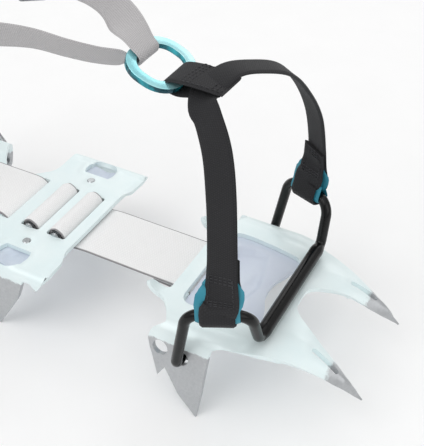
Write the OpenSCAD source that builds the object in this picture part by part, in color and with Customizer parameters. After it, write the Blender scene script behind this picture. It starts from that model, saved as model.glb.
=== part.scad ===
// Semi-automatic crampon for the left boot: a front section with two horn
// points, a heel section that slides on a webbing link, a wire toe bail with
// a strap harness, a wire heel bail with a height-adjustable lever, and an
// ankle strap.  +X points to the toe, +Y to the left, +Z up, ground at z = 0.

/* [Frames] */
// Height of both frames' top face above the ground
plate_z = 43.5; // [42.5:0.5:45]
// Thickness of the folded frame sheet
sheet_t = 2.5; // [2:0.1:2.5]
// Half width of the front frame's flat top
front_half_w = 38; // [37:0.5:39]
// Half width of the heel frame's wings, outside
wing_half_w = 48.5; // [47.5:0.5:49]
// Half width of the heel frame's rear end, outside
heel_half_w = 38; // [37:0.5:38.5]
// Outward lean of the front side spikes, in degrees
spike_lean = 10.8; // [9:0.2:12]
// Radius of the arc that curves the front points down
horn_r = 53; // [51:0.5:56]
// Distance between the front tips
tip_gap = 50.8; // [49:0.2:52]

/* [Webbing link] */
// Width of the link webbing
link_w = 35.4; // [33:0.2:36]
// Thickness of the link webbing
link_t = 1.5; // [1:0.1:1.6]
// Visible span of the link between the two frames
link_span = 61; // [58:1:64]

/* [Bails] */
// Diameter of the toe bail wire
toe_wire_d = 5; // [4:0.1:5.2]
// Diameter of the sleeve on the toe bail's front bar
toe_sleeve_d = 6.6; // [6:0.1:7]
// Diameter of the heel bail wire
heel_wire_d = 4; // [3.5:0.1:4.2]
// Diameter of the toe bail's pivot holes
bail_hole_d = 8; // [6:0.5:8]

/* [Heel lever] */
// Width of the heel lever
lever_w = 28; // [26:0.5:28]
// Diameter of the thumb wheel
wheel_d = 17; // [15:0.5:17.5]
// Diameter of the adjusting screw
screw_d = 4; // [3:0.5:4]

/* [Straps and ring] */
// Width of the toe straps and of the ankle strap
strap_w = 15; // [13:0.5:15]
// Thickness of the straps
strap_t = 1.6; // [1.2:0.1:1.8]
// Width of the ring's flat section
ring_face = 4.7; // [4.2:0.1:4.8]
// Thickness of the ring
ring_t = 2.8; // [2.5:0.1:3]

/* [Hidden] */
$fn = 64;
x_shift = 68;          // moves the middle of the length to the origin
e = 0.01;              // overlap of solids that are one piece
big = 200;             // length of a cutter that goes right through
plate_under = plate_z - sheet_t;

// front frame
tip_x = 80;
front_bend_r = 8;      // outer radius of the shoulder above the side spikes
front_bend_z = plate_z - front_bend_r;
pivot = [1, 29.4];     // toe bail pivot, x and z
spare_hole = [-9.8, 30.8];
flange_y = front_half_w + front_bend_r * cos(spike_lean);
flange_z = front_bend_z + front_bend_r * sin(spike_lean);

// link
link_pin = [-14, plate_under - 4];
pin_r = 1.8;
link_top = plate_under - 0.4;
link_under = link_top - link_t;
link_loop_r = link_top - link_pin[1];
link_rear_x = link_pin[0] - link_span;
tail_end_x = -178;

// heel frame
wing_bend_r = 4.5;
heel_bend_r = 4;
wing_rear_x = -120;
heel_rear_x = -187;
rod_r = 2.2;
rod_z = plate_z;
rod_x = [-87.5, -103.5];
window_len = 11;
window_half_w = 19.6;
rivet_pos = [-97.5, 28];
heel_pivot = [-166, 30];

// heel lever
cross = [-196, 76];     // heel bail cross bar, x and z
screw_x = -203.5;
pocket_half_w = lever_w / 2 - 4;
saddle_h = 9;
travel = 4;             // screw travel each way
wheel_z = 86;
wheel_h = 5;

// ring and straps
ring_rear = [-42.1, 150];
ring_front = [-21.9, 141.6];
ring_mid = (ring_rear + ring_front) / 2;
ring_tilt = atan2(ring_rear[1] - ring_front[1], ring_front[0] - ring_rear[0]);
ring_len = norm(ring_rear - ring_front) + ring_face;
ring_w = 32;
ring_corner_r = 12;
ring_eye_r = norm([ring_face + 1.4, ring_t]) / 2 + 0.35;  // clears the bars' curved ends
stud_r = 4;

// ---------------------------------------------------------------- helpers

module placed() { translate([x_shift, 0, 0]) children(); }

module both_sides() {
    children();
    mirror([0, 1, 0]) children();
}

// an outline drawn in X and Z, as thick as y0 to y1
module side_cut(y0, y1) {
    translate([0, y1, 0]) rotate([90, 0, 0]) linear_extrude(y1 - y0) children();
}

// an outline drawn in Y and Z, running from x0 to x1
module cross_cut(x0, x1) {
    translate([x0, 0, 0]) rotate([90, 0, 90]) linear_extrude(x1 - x0) children();
}

// an outline drawn in X and Y, running from z0 to z1
module top_cut(z0, z1) { translate([0, 0, z0]) linear_extrude(z1 - z0) children(); }

// a round bar across the part at x, z
module cross_bar(at, r, y0, y1) {
    translate([at[0], y1, at[1]]) rotate([90, 0, 0]) cylinder(r = r, h = y1 - y0);
}

module rod(a, b, d, spin = 0) {
    v = b - a;
    len = norm(v);
    translate(a) rotate([0, acos(v.z / len), atan2(v.y, v.x)]) rotate(spin)
        cylinder(d = d, h = len);
}

// a wire of diameter d through a list of points, rounded at its bends; each
// length is spun about itself so that no two seams meet
module bent_rod(points, d) {
    for (i = [0 : len(points) - 2]) rod(points[i], points[i + 1], d, 20 + 31 * i);
    for (i = [1 : len(points) - 2])
        translate(points[i]) rotate(23 * i) sphere(d = d + 0.02);
}

// a path on the left side joined to its mirror image on the right
function both(points) = concat(points, [for (i = [len(points) - 1 : -1 : 0])
    [points[i].x, -points[i].y, points[i].z]]);

// both halves of a plan outline that is given for the left side
module plan(points) {
    polygon(concat(points, [for (i = [len(points) - 1 : -1 : 0])
        [points[i][0], -points[i][1]]]));
}

// direction of a polyline's length number i
function heading(p, i) = (p[i + 1] - p[i]) / norm(p[i + 1] - p[i]);

// point beside corner i of a polyline, at the distance off from both lengths
function beside(p, i, off) = let (
        a = heading(p, max(i - 1, 0)),
        b = heading(p, min(i, len(p) - 2)),
        m = (a + b) / norm(a + b))
    p[i] + off / (m * a) * [-m.y, m.x];

// a flat band that follows a polyline, as an outline with mitred corners
module band(points, thick)
    polygon(concat([for (i = [0 : len(points) - 1]) beside(points, i, thick / 2)],
        [for (i = [len(points) - 1 : -1 : 0]) beside(points, i, -thick / 2)]));

// sheet folded down at both edges, in Y and Z: half width of the flat top,
// bend radius and the lean of the flange outwards
module folded_section(flat, bend_r, lean) {
    square_top = plate_z - sheet_t;
    translate([-flat, square_top]) square([2 * flat, sheet_t]);
    for (side = [-1, 1]) scale([side, 1]) translate([flat, plate_z - bend_r]) {
        intersection() {
            difference() {
                circle(bend_r);
                circle(bend_r - sheet_t);
            }
            polygon([[0, 0], [2 * bend_r * cos(lean), 2 * bend_r * sin(lean)],
                [2 * bend_r, 2 * bend_r], [0, 2 * bend_r]]);
        }
        rotate(lean) translate([bend_r - sheet_t, -plate_z])
            square([sheet_t, plate_z + 0.05]);
    }
}

// ------------------------------------------------------------ front section

// curved front point: height of its top face over x
function horn_top(x) = plate_z - horn_r + sqrt(horn_r * horn_r - pow(max(x - 38, 0), 2));

module horn_profile() {
    steps = [for (i = [0 : 14]) 34 + (tip_x - 34) * i / 14];
    polygon(concat([for (x = steps) [x, horn_top(x)]],
        [for (i = [14 : -1 : 0]) [steps[i], horn_top(steps[i]) - 3.6 + i * 0.07]]));
}

module horn_plan() {
    tip_y = tip_gap / 2;
    polygon([[34, 0], [39, 0], [39.4, 8.8], [47.9, 13.4], [56.2, 17.4], [64.3, 19.6],
        [71.3, 21.8], [tip_x, tip_y - 0.3], [tip_x, tip_y + 0.3], [67, 29.6],
        [56, 32.6], [45, 35.4], [34, 37.6]]);
}

module horn() {
    difference() {
        intersection() {
            side_cut(-e, 40) horn_profile();
            top_cut(0, plate_z + e) horn_plan();
        }
        // the long slot near the tip
        translate([55.5, 23.8, 0]) rotate(8) top_cut(0, big) {
            circle(1.5);
            translate([0, -1.5]) square([10.5, 3]);
            translate([10.5, 0]) circle(1.5);
        }
    }
}

module front_side_outline() {
    polygon([[-18, plate_z + e], [36 + e, plate_z + e], [36 + e, plate_under - e],
        [15.6, plate_under - e], [14.4, 36], [13, 19], [11.6, 0], [11, 0], [1.4, 8.4],
        [-6.4, 20.4], [-10.2, 15], [-13.4, 24.6], [-16, 33], [-15.2, 38.4],
        [-12.2, plate_under - e], [-18, plate_under - e]]);
}

module front_plan() {
    plan([[-18, 0], [-18, 26], [-13.4, 37], [-17, 41], [-17, 60], [17, 60],
        [17, 43.4], [28, 41.6], [36 + e, 38], [36 + e, 0]]);
}

module front_window() {
    plan([[-10.4, 0], [-10.4, 26], [-8.4, 28], [26, 25], [31, 21], [33, 10], [33, 0]]);
}

module front_frame() placed() color([0.90, 0.95, 0.96]) {
    difference() {
        intersection() {
            cross_cut(-18, 36 + e) folded_section(front_half_w, front_bend_r, spike_lean);
            side_cut(-60, 60) front_side_outline();
            top_cut(-1, plate_z + 1) front_plan();
        }
        top_cut(plate_under - 1, plate_z + 1) front_window();
        for (hole = [pivot, spare_hole]) cross_bar(hole, bail_hole_d / 2, -big, big);
    }
    both_sides() {
        horn();
        // ear that carries the link pin, under the rear bar
        difference() {
            side_cut(19.5, 22.5) union() {
                translate(link_pin) circle(3.6);
                translate([link_pin[0] - 3.6, link_pin[1]]) square([7.2, 5]);
            }
            cross_bar(link_pin, pin_r + 0.05, 0, 40);
        }
        // round hook at the rear corner
        rod([-16.5, 24.6, plate_z - 1.6], [-23.5, 26, plate_z - 0.4], 3.2);
        translate([-23.5, 26, plate_z - 0.4]) sphere(d = 3.8);
    }
}

module front_antiball_plate() placed() color([0.82, 0.86, 0.92]) {
    top = plate_under - 0.1;
    difference() {
        top_cut(top - 2.6, top) plan([[-8.6, 0], [-8.6, 31], [6, 32.5], [20, 30.5],
            [26.5, 24], [25.5, 16], [22.5, 8], [21.5, 0]]);
        // recess in the middle, seen through the window
        top_cut(top - 1.2, top + 1) plan([[-6, 0], [-6, 22], [2, 26], [18, 24], [22, 19],
            [19.5, 10], [18.5, 0]]);
        for (y = [-29.6, 29.6]) translate([2, y, 0]) cylinder(r = 1.5, h = big);
    }
}

module front_plate_rivets() placed() color([0.75, 0.77, 0.78])
    for (y = [-29.6, 29.6]) translate([2, y, plate_under - 3.4]) {
        cylinder(r = 1.45, h = 3.3);
        cylinder(r = 2.6, h = 0.7);
    }

module link_pin() placed() color([0.75, 0.76, 0.77]) {
    cross_bar(link_pin, pin_r, -24, 24);
    both_sides() cross_bar(link_pin, 2.8, 22.8, 24.2);
}

// ----------------------------------------------------------------- toe bail

toe_top_rear = [7.7, 52.6, 66.3];
toe_top_front = [32.5, 42.4, 68.4];
toe_bar = [33.3, plate_z + toe_sleeve_d / 2 + 0.3];
toe_bar_end = [toe_bar[0], 34.6, toe_bar[1]];
toe_half = [[pivot[0], 43, pivot[1]], [pivot[0], 51.6, pivot[1]], toe_top_rear,
    toe_top_front, toe_bar_end];

module toe_bail_wire() placed() color([0.09, 0.10, 0.10]) {
    bent_rod(both(toe_half), toe_wire_d);
    // upset ends that keep the wire in its holes
    both_sides() cross_bar(pivot, toe_wire_d / 2 + 0.3, 42, 43.5);
}

module toe_bar_sleeve() placed() color([0.06, 0.07, 0.07]) {
    sleeve_half = 29;
    difference() {
        union() {
            cross_bar(toe_bar, toe_sleeve_d / 2, -sleeve_half, sleeve_half);
            both_sides() translate([toe_bar[0], sleeve_half, toe_bar[1]]) rotate([-90, 0, 0])
                cylinder(r1 = toe_sleeve_d / 2, r2 = toe_wire_d / 2 + 0.25, h = 3);
        }
        cross_bar(toe_bar, toe_wire_d / 2 + 0.02, -big / 2, big / 2);
    }
}

// liner that wraps the wire: an eye round the wire and a tongue up the strap
module strap_liner() {
    mid = (toe_top_rear + toe_top_front) / 2;
    run = toe_top_front - toe_top_rear;
    half = 9.5;
    turn = atan2(run.y, run.x);
    rise = -atan2(run.z, norm([run.x, run.y]));
    translate(mid) rotate([0, 0, turn]) rotate([0, rise, 0]) rotate([-3, 0, 0])
        difference() {
            union() {
                translate([-half, 0, 0]) rotate([0, 90, 0]) cylinder(r = 4, h = 2 * half);
                translate([-half, -1.6, 0]) cube([2 * half, 3.2, 15]);
            }
            translate([-20, 0, 0]) rotate([0, 90, 0])
                cylinder(r = toe_wire_d / 2 + 0.05, h = 40);
        }
}

module strap_liner_left() placed() color([0.19, 0.53, 0.62]) strap_liner();
module strap_liner_right() placed() color([0.19, 0.53, 0.62])
    mirror([0, 1, 0]) strap_liner();

// ------------------------------------------------------------- toe harness

// middle line of a toe strap from above the liner to the ring tab
toe_strap_line = [[21.5, 47.6, 93], [20.4, 45, 107.5], [18.4, 41.2, 118.5],
    [15, 36.4, 128.5], [9.6, 29.4, 136.6], [2.8, 21, 142.4], [-2.6, 14.2, 144.6]];
toe_strap_steps = len(toe_strap_line) - 1;

// flat link of webbing from one point of the line to the next; its width
// turns from fore and aft to square with the line as it nears the tab
module toe_strap()
    for (i = [0 : toe_strap_steps - 1]) hull() for (k = [i, i + 1])
        translate(toe_strap_line[k])
            rotate([k * 10, 0, 0]) rotate([0, k * 4, k * 6])
                cube([strap_w, strap_t, 0.6], center = true);

module toe_strap_left() placed() color([0.17, 0.17, 0.18]) toe_strap();
module toe_strap_right() placed() color([0.17, 0.17, 0.18]) mirror([0, 1, 0]) toe_strap();

// folded tab that joins the two toe straps and wraps the ring's front bar
module ring_tab() placed() color([0.15, 0.15, 0.16]) {
    translate([ring_front[0], 0, ring_front[1]]) rotate([0, ring_tilt - 4, 0])
        difference() {
            union() {
                cross_bar([-0.6, 0], ring_eye_r + strap_t, -8, 8);
                translate([0, -8, -1.6]) cube([18, 16, 6.4]);
                translate([4.2, -12, -1.6]) cube([15.4, 24, 6.4]);
            }
            cross_bar([-0.6, 0], ring_eye_r, -9, 9);
        }
}

module strap_ring() placed() color([0.45, 0.82, 0.85])
    translate([ring_mid[0], 0, ring_mid[1]]) rotate([0, ring_tilt, 0])
        top_cut(-ring_t / 2, ring_t / 2) difference() {
            rounded(ring_len, ring_w, ring_corner_r);
            rounded(ring_len - 2 * ring_face, ring_w - 2 * ring_face,
                ring_corner_r - ring_face);
        }

// rectangle with round corners, from plain squares and circles
module rounded(len, wide, r) {
    square([len - 2 * r, wide], center = true);
    square([len, wide - 2 * r], center = true);
    for (x = [-1, 1], y = [-1, 1])
        translate([x * (len / 2 - r), y * (wide / 2 - r)]) circle(r);
}

// -------------------------------------------------------------- ankle strap

// left leg of the ankle strap seen from above and from the side
leg_plan = [[-48, 3], [-58, 9], [-70, 18], [-83, 27], [-97, 34], [-112, 38], [-150, 38],
    [-164, 35.5], [-177, 28], [-186, 19.5], [-192, 15.2], [-201, 15.2]];
leg_side = [[-44, 151], [-60, 152.5], [-83, 153.5], [-112, 152], [-150, 142], [-177, 123],
    [-203, 101]];
split_x = -109;
split_gap = 3;

module strap_leg(x0, x1) intersection() {
    top_cut(60, 190) band(leg_plan, strap_t);
    side_cut(0, 60) band(leg_side, strap_w);
    translate([x0, 0, 0]) cube([x1 - x0, 60, 200]);
}

module ankle_strap_front() placed() color([0.73, 0.72, 0.73]) {
    both_sides() strap_leg(split_x, -50.2);
    // turn of the strap round the ring's rear bar
    translate([ring_rear[0], 0, ring_rear[1]]) rotate([0, ring_tilt, 0]) difference() {
        union() {
            cross_bar([0.6, 0], ring_eye_r + strap_t, -7, 7);
            translate([-9.5, -9, -3]) cube([5.9, 18, 6]);
        }
        cross_bar([0.6, 0], ring_eye_r, -8, 8);
    }
}

module ankle_strap_rear() placed() color([0.73, 0.72, 0.73])
    both_sides() strap_leg(-200.5, split_x - split_gap);

stud_at = [-196, 105];
module ankle_strap_studs() placed() color([0.72, 0.73, 0.74])
    both_sides() translate([stud_at[0], 15.2 + strap_t / 2 + 0.1, stud_at[1]])
        rotate([-90, 0, 0]) {
            cylinder(r = stud_r, h = 0.8);
            translate([0, 0, 0.8]) cylinder(r1 = stud_r, r2 = stud_r - 1.4, h = 0.9);
        }

buckle_x = -132;
buckle_z = 146.7;
buckle_y = 38 + strap_t / 2 + 0.3;
leg_slope = atan2(10, 38);
tail_offset = buckle_y + 2.4 + 0.3 + strap_t / 2 - 38;

// ladder-lock buckle on the outside of the left leg
module ankle_buckle() placed() color([0.66, 0.68, 0.70])
    translate([buckle_x, buckle_y, buckle_z]) rotate([0, -leg_slope, 0])
        side_cut(0, 2.4) difference() {
            rounded(20, strap_w + 7, 2.5);
            for (x = [-5.6, 0, 5.6]) translate([x, 0]) square([3.2, strap_w + 1], center = true);
        }

// free end of the ankle strap, lying forward over the leg
module ankle_strap_tail() placed() color([0.70, 0.69, 0.70])
    intersection() {
        translate([0, tail_offset, 0]) top_cut(60, 190) band(leg_plan, strap_t);
        side_cut(0, 60) band(leg_side, strap_w - 0.6);
        translate([buckle_x - 6, 0, 0]) cube([40, 60, 200]);
    }

// elastic loop that holds the free end down
module strap_keeper() placed() color([0.12, 0.12, 0.12])
    translate([buckle_x, 38, buckle_z]) rotate([0, -leg_slope, 0])
        translate([10.5, 0, 0]) difference() {
            translate([0, -2, -strap_w / 2 - 1.8]) cube([7, 9.1, strap_w + 3.6]);
            translate([-1, -1.1, -strap_w / 2 - 0.5]) cube([9, 7.2, strap_w + 1]);
        }

// ------------------------------------------------------------- webbing link

module link_strap() placed() color([0.97, 0.97, 0.97]) {
    half = link_w / 2;
    difference() {
        union() {
            cross_bar(link_pin, link_loop_r, -half, half);
            translate([link_rear_x + 0.3, -half, link_under])
                cube([link_span - 0.3, link_w, link_t]);
            // end of the loop, sewn down under the span
            translate([link_pin[0] - 17, -half, link_under - link_t - 0.02])
                cube([15, link_w, link_t + 0.03]);
        }
        cross_bar(link_pin, pin_r + 0.3, -half - 1, half + 1);
    }
}

module link_strap_tail() placed() color([0.97, 0.97, 0.97])
    translate([tail_end_x, -link_w / 2, link_under])
        cube([link_rear_x - 0.3 - tail_end_x, link_w, link_t]);

// the two humps of webbing over the rods
module link_strap_weave() placed() color([0.97, 0.97, 0.97])
    for (x = rod_x) side_cut(-link_w / 2, link_w / 2)
        translate([x, link_top + 0.25]) difference() {
            half_oval(5.2, 6.1);
            half_oval(3.8, rod_r + plate_z - link_top - 0.1);
        }

module half_oval(a, b) polygon([for (t = [0 : 7.5 : 180]) [a * cos(t), b * sin(t)]]);

// ------------------------------------------------------------- heel section

module wing_side_outline() {
    polygon([[-73, plate_z + e], [wing_rear_x, plate_z + e], [wing_rear_x, plate_under - e],
        [-118.6, plate_under - e], [-117, 33], [-113, 20], [-107, 0], [-106.2, 0], [-91, 24],
        [-87, 33], [-85, plate_under - 2], [-81, plate_under - 1.4], [-78, 37.6],
        [-75.6, plate_under - e]]);
}

module wing_plan() {
    plan([[-76, 0], [-76, 26], [-74, 29], [-74, 49], [-118, 49], [wing_rear_x, 46],
        [wing_rear_x, 0]]);
}

module heel_side_outline() {
    polygon([[wing_rear_x + e, plate_z + e], [heel_rear_x, plate_z + e],
        [heel_rear_x, plate_under - e], [-184.6, plate_under - e], [-183, 33], [-178, 14],
        [-174.4, 0], [-173.6, 0], [-166, 20], [-162.4, 27], [-161, 33], [-159.4, plate_under - 1],
        [wing_rear_x + e, plate_under - 1]]);
}

module heel_plan() {
    plan([[wing_rear_x + e, 0], [wing_rear_x + e, 26], [-126, 21], [-130, 16.4],
        [-146, 16.4], [-159, 33], [-160.4, 40], [-184, 40], [heel_rear_x, 28],
        [heel_rear_x, 0]]);
}

// slot that the webbing comes up through, and the open middle of the waist
module heel_window() {
    translate([-119.3, 0]) square([4.6, 37], center = true);
    plan([[-130, 0], [-130, 9.5], [-146, 9.5], [-153, 16], [-162, 16], [-162, 0]]);
    translate([-174, 0]) rounded(9, 30, 4);
}

// half-moon opening in each wing
module half_moon() {
    intersection() {
        translate([-98, 38]) circle(8.8);
        translate([-110, 33.5]) square([24, 13]);
    }
}

module heel_frame() placed() color([0.90, 0.95, 0.96])
    difference() {
        union() {
            intersection() {
                cross_cut(wing_rear_x, -73)
                    folded_section(wing_half_w - wing_bend_r, wing_bend_r, 0);
                side_cut(-60, 60) wing_side_outline();
                top_cut(-1, plate_z + 1) wing_plan();
            }
            intersection() {
                cross_cut(heel_rear_x, wing_rear_x + e)
                    folded_section(heel_half_w - heel_bend_r, heel_bend_r, 0);
                side_cut(-60, 60) heel_side_outline();
                top_cut(-1, plate_z + 1) heel_plan();
            }
        }
        top_cut(plate_under - 1, plate_z + 1) {
            heel_window();
            half_moon();
            mirror([0, 1]) half_moon();
            for (x = rod_x) translate([x, 0])
                square([window_len, 2 * window_half_w], center = true);
        }
        for (x = rod_x) cross_bar([x, rod_z], rod_r + 0.02, -window_half_w - 2.6,
            window_half_w + 2.6);
        for (y = [-1, 1]) translate([rivet_pos[0], y * rivet_pos[1], 30])
            cylinder(r = 1.5, h = 20);
        cross_bar(heel_pivot, heel_wire_d / 2 + 0.06, -big / 2, big / 2);
    }

// rods that the link webbing is laced over
module strap_rods() placed() color([0.80, 0.83, 0.84])
    for (x = rod_x) cross_bar([x, rod_z], rod_r, -window_half_w - 2.5, window_half_w + 2.5);

// outer and inner half width, bottom and top
module tray_section(outer, inner, low, high)
    polygon([[-outer, low], [-outer, high], [-inner, high], [-inner, low + 1.4],
        [inner, low + 1.4], [inner, high], [outer, high], [outer, low]]);

// tray under the wings with a channel for the webbing
module heel_antiball_plate() placed() color([0.82, 0.86, 0.92])
    difference() {
        cross_cut(-116, -80) tray_section(43.6, 24.6, link_under - 2.2, plate_under - 0.1);
        for (y = [-1, 1]) translate([rivet_pos[0], y * rivet_pos[1], 20])
            cylinder(r = 1.5, h = 30);
        for (y = [-1, 1]) scale([1, y, 1]) top_cut(link_under - 1, plate_z)
            translate([-98, 38]) circle(7);
    }

module heel_plate_rivets() placed() color([0.75, 0.77, 0.78])
    for (y = [-1, 1]) translate([rivet_pos[0], y * rivet_pos[1], link_under - 2.9]) {
        cylinder(r = 2.6, h = 0.68);
        cylinder(r = 1.45, h = plate_z - link_under + 2.9 + 0.4);
        translate([0, 0, plate_z - link_under + 2.92]) cylinder(r1 = 2.6, r2 = 1.8, h = 0.8);
    }

// ----------------------------------------------------------------- heel bail

heel_half = [[heel_pivot[0], 33, heel_pivot[1]], [heel_pivot[0], 42, heel_pivot[1]],
    [-184, 40.9, 57], [cross[0], 27, cross[1]]];

module heel_bail_wire() placed() color([0.72, 0.73, 0.74])
    bent_rod(both(heel_half), heel_wire_d);

module lever_saddle() placed() color([0.60, 0.62, 0.63])
    difference() {
        translate([-208, -pocket_half_w + 0.4, cross[1] - saddle_h / 2])
            cube([208 - 193.8, 2 * pocket_half_w - 0.8, saddle_h]);
        cross_bar(cross, heel_wire_d / 2 + 0.06, -20, 20);
        translate([screw_x, 0, 0]) cylinder(d = screw_d + 0.1, h = big);
    }

module lever_outline() {
    polygon([[-189.6, 70.5], [-190.4, 74], [-191.4, 88], [-192.6, 100], [-195.2, 112],
        [-200, 123], [-207, 130.4], [-214.6, 133.4], [-216, 130.6], [-210.6, 125],
        [-207.4, 117], [-206.4, 106], [-208, 97], [-211, 92], [-211, 64], [-208.6, 62],
        [-193.6, 62], [-189.6, 64.2]]);
}

module heel_lever() placed() color([0.13, 0.14, 0.15])
    difference() {
        side_cut(-lever_w / 2, lever_w / 2) lever_outline();
        // pocket for the saddle and the thumb wheel, open to the rear
        translate([-220, -pocket_half_w, 66])
            cube([220 - 193.5, 2 * pocket_half_w, wheel_z + wheel_h + 0.4 - 66]);
        // slots in the cheeks for the cross bar
        side_cut(-lever_w, lever_w) {
            for (z = [-travel, travel]) translate([cross[0], cross[1] + z])
                circle(heel_wire_d / 2 + 0.3);
            translate([cross[0] - heel_wire_d / 2 - 0.3, cross[1] - travel])
                square([heel_wire_d + 0.6, 2 * travel]);
        }
        translate([screw_x, 0, 61]) cylinder(d = screw_d + 0.12, h = 36);
        // waist openings through the upper lever
        side_cut(-lever_w, lever_w) translate([-200.4, 103]) circle(2.6);
    }

// hardened lip that presses on the boot's heel welt
module lever_lip() placed() color([0.62, 0.64, 0.65])
    side_cut(-11, 11) polygon([[-189.5, 64.6], [-189.5, 70], [-186.6, 69.4], [-182.6, 66.4],
        [-182.8, 65.2], [-186, 65.6]]);

module adjusting_screw() placed() color([0.70, 0.71, 0.72])
    translate([screw_x, 0, 62.4]) cylinder(d = screw_d, h = 34);

module thumb_wheel() placed() color([0.19, 0.53, 0.62])
    translate([screw_x, 0, wheel_z + 0.2]) difference() {
        cylinder(d = wheel_d, h = wheel_h - 0.2);
        translate([0, 0, -1]) cylinder(d = screw_d + 0.02, h = 10);
        for (a = [0 : 20 : 359]) rotate(a) translate([wheel_d / 2 + 0.3, 0, -1])
            cylinder(d = 1.6, h = 10);
    }

// ------------------------------------------------------------------- output

front_frame();
front_antiball_plate();
front_plate_rivets();
link_pin();
toe_bail_wire();
toe_bar_sleeve();
strap_liner_left();
strap_liner_right();
toe_strap_left();
toe_strap_right();
ring_tab();
strap_ring();
ankle_strap_front();
ankle_strap_rear();
ankle_strap_studs();
ankle_buckle();
ankle_strap_tail();
strap_keeper();
link_strap();
link_strap_tail();
link_strap_weave();
heel_frame();
heel_antiball_plate();
heel_plate_rivets();
strap_rods();
heel_bail_wire();
lever_saddle();
heel_lever();
lever_lip();
adjusting_screw();
thumb_wheel();
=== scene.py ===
# Looks of the crampon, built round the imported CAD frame.
import math
import random
import bpy
import numpy as np
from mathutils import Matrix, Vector
from mathutils.geometry import delaunay_2d_cdt


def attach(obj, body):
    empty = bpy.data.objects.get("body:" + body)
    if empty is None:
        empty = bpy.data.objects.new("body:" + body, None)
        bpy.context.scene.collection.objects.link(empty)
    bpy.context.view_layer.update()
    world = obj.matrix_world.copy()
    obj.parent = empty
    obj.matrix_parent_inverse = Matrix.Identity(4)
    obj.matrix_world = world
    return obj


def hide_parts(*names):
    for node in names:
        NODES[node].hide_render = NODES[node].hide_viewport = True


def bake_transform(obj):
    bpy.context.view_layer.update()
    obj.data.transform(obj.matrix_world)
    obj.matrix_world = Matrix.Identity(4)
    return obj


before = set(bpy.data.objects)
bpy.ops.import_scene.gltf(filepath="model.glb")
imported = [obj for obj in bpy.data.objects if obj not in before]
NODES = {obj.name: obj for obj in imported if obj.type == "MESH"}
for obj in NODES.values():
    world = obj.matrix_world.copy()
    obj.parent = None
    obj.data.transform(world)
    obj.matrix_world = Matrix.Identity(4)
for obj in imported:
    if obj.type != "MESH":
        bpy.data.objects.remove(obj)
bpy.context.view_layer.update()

# The shapes below are drawn in millimetres with x = 0 near the toe bail's
# pivot, as in the CAD source; P() takes them to the row frame.
SHIFT = 68.0
PZ = 43.5               # top of the frames
SHEET = 2.5             # sheet thickness
STRAP_W = 15.0          # black and grey straps
LINER_W = 18.8          # teal liners
LINK_W = 35.2           # webbing link
WEB = 1.4               # thickness of the grey and white webbing
TOE_WEB = 1.5           # thickness of the toe straps
ROD_X = (-87.5, -103.5)   # rods that the link is laced over
HALF_MOON = (-98, 38)   # middle of each half-moon opening
BAIL_WIRE_R, HEEL_WIRE_R = 2.5, 2.0
SIDES = ((1, "left"), (-1, "right"))


def P(p):
    return Vector(((p[0] + SHIFT) * 0.001, p[1] * 0.001, p[2] * 0.001))


def lerp(table, x):
    """Value at x of a table of (x, value) pairs, joined by straight lines."""
    if x <= table[0][0]:
        return table[0][1]
    for (x0, v0), (x1, v1) in zip(table, table[1:]):
        if x <= x1:
            return v0 + (v1 - v0) * (x - x0) / (x1 - x0)
    return table[-1][1]


def smooth(a, b, x):
    """0 below a, 1 above b, an S curve between."""
    t = min(1.0, max(0.0, (x - a) / (b - a)))
    return t * t * (3 - 2 * t)


# ---- camera

AZ, EL = math.radians(28.15), math.radians(40.11)
back = Vector((math.sin(AZ) * math.cos(EL), -math.cos(AZ) * math.cos(EL), math.sin(EL)))
cam_data = bpy.data.cameras.new("camera")
cam = bpy.data.objects.new("camera", cam_data)
bpy.context.scene.collection.objects.link(cam)
cam.location = (0.1964, -0.2553, 0.3139)
cam.rotation_mode = "QUATERNION"
cam.rotation_quaternion = (-back).to_track_quat("-Z", "Y")
cam_data.sensor_width = 36
cam_data.lens = 66.48
cam_data.clip_start = 0.01
cam_data.clip_end = 20
bpy.context.scene.camera = cam


# ---- materials

def srgb(r, g, b):
    def lin(c):
        c /= 255
        return c / 12.92 if c <= 0.04045 else ((c + 0.055) / 1.055) ** 2.4
    return (lin(r), lin(g), lin(b), 1)


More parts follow.
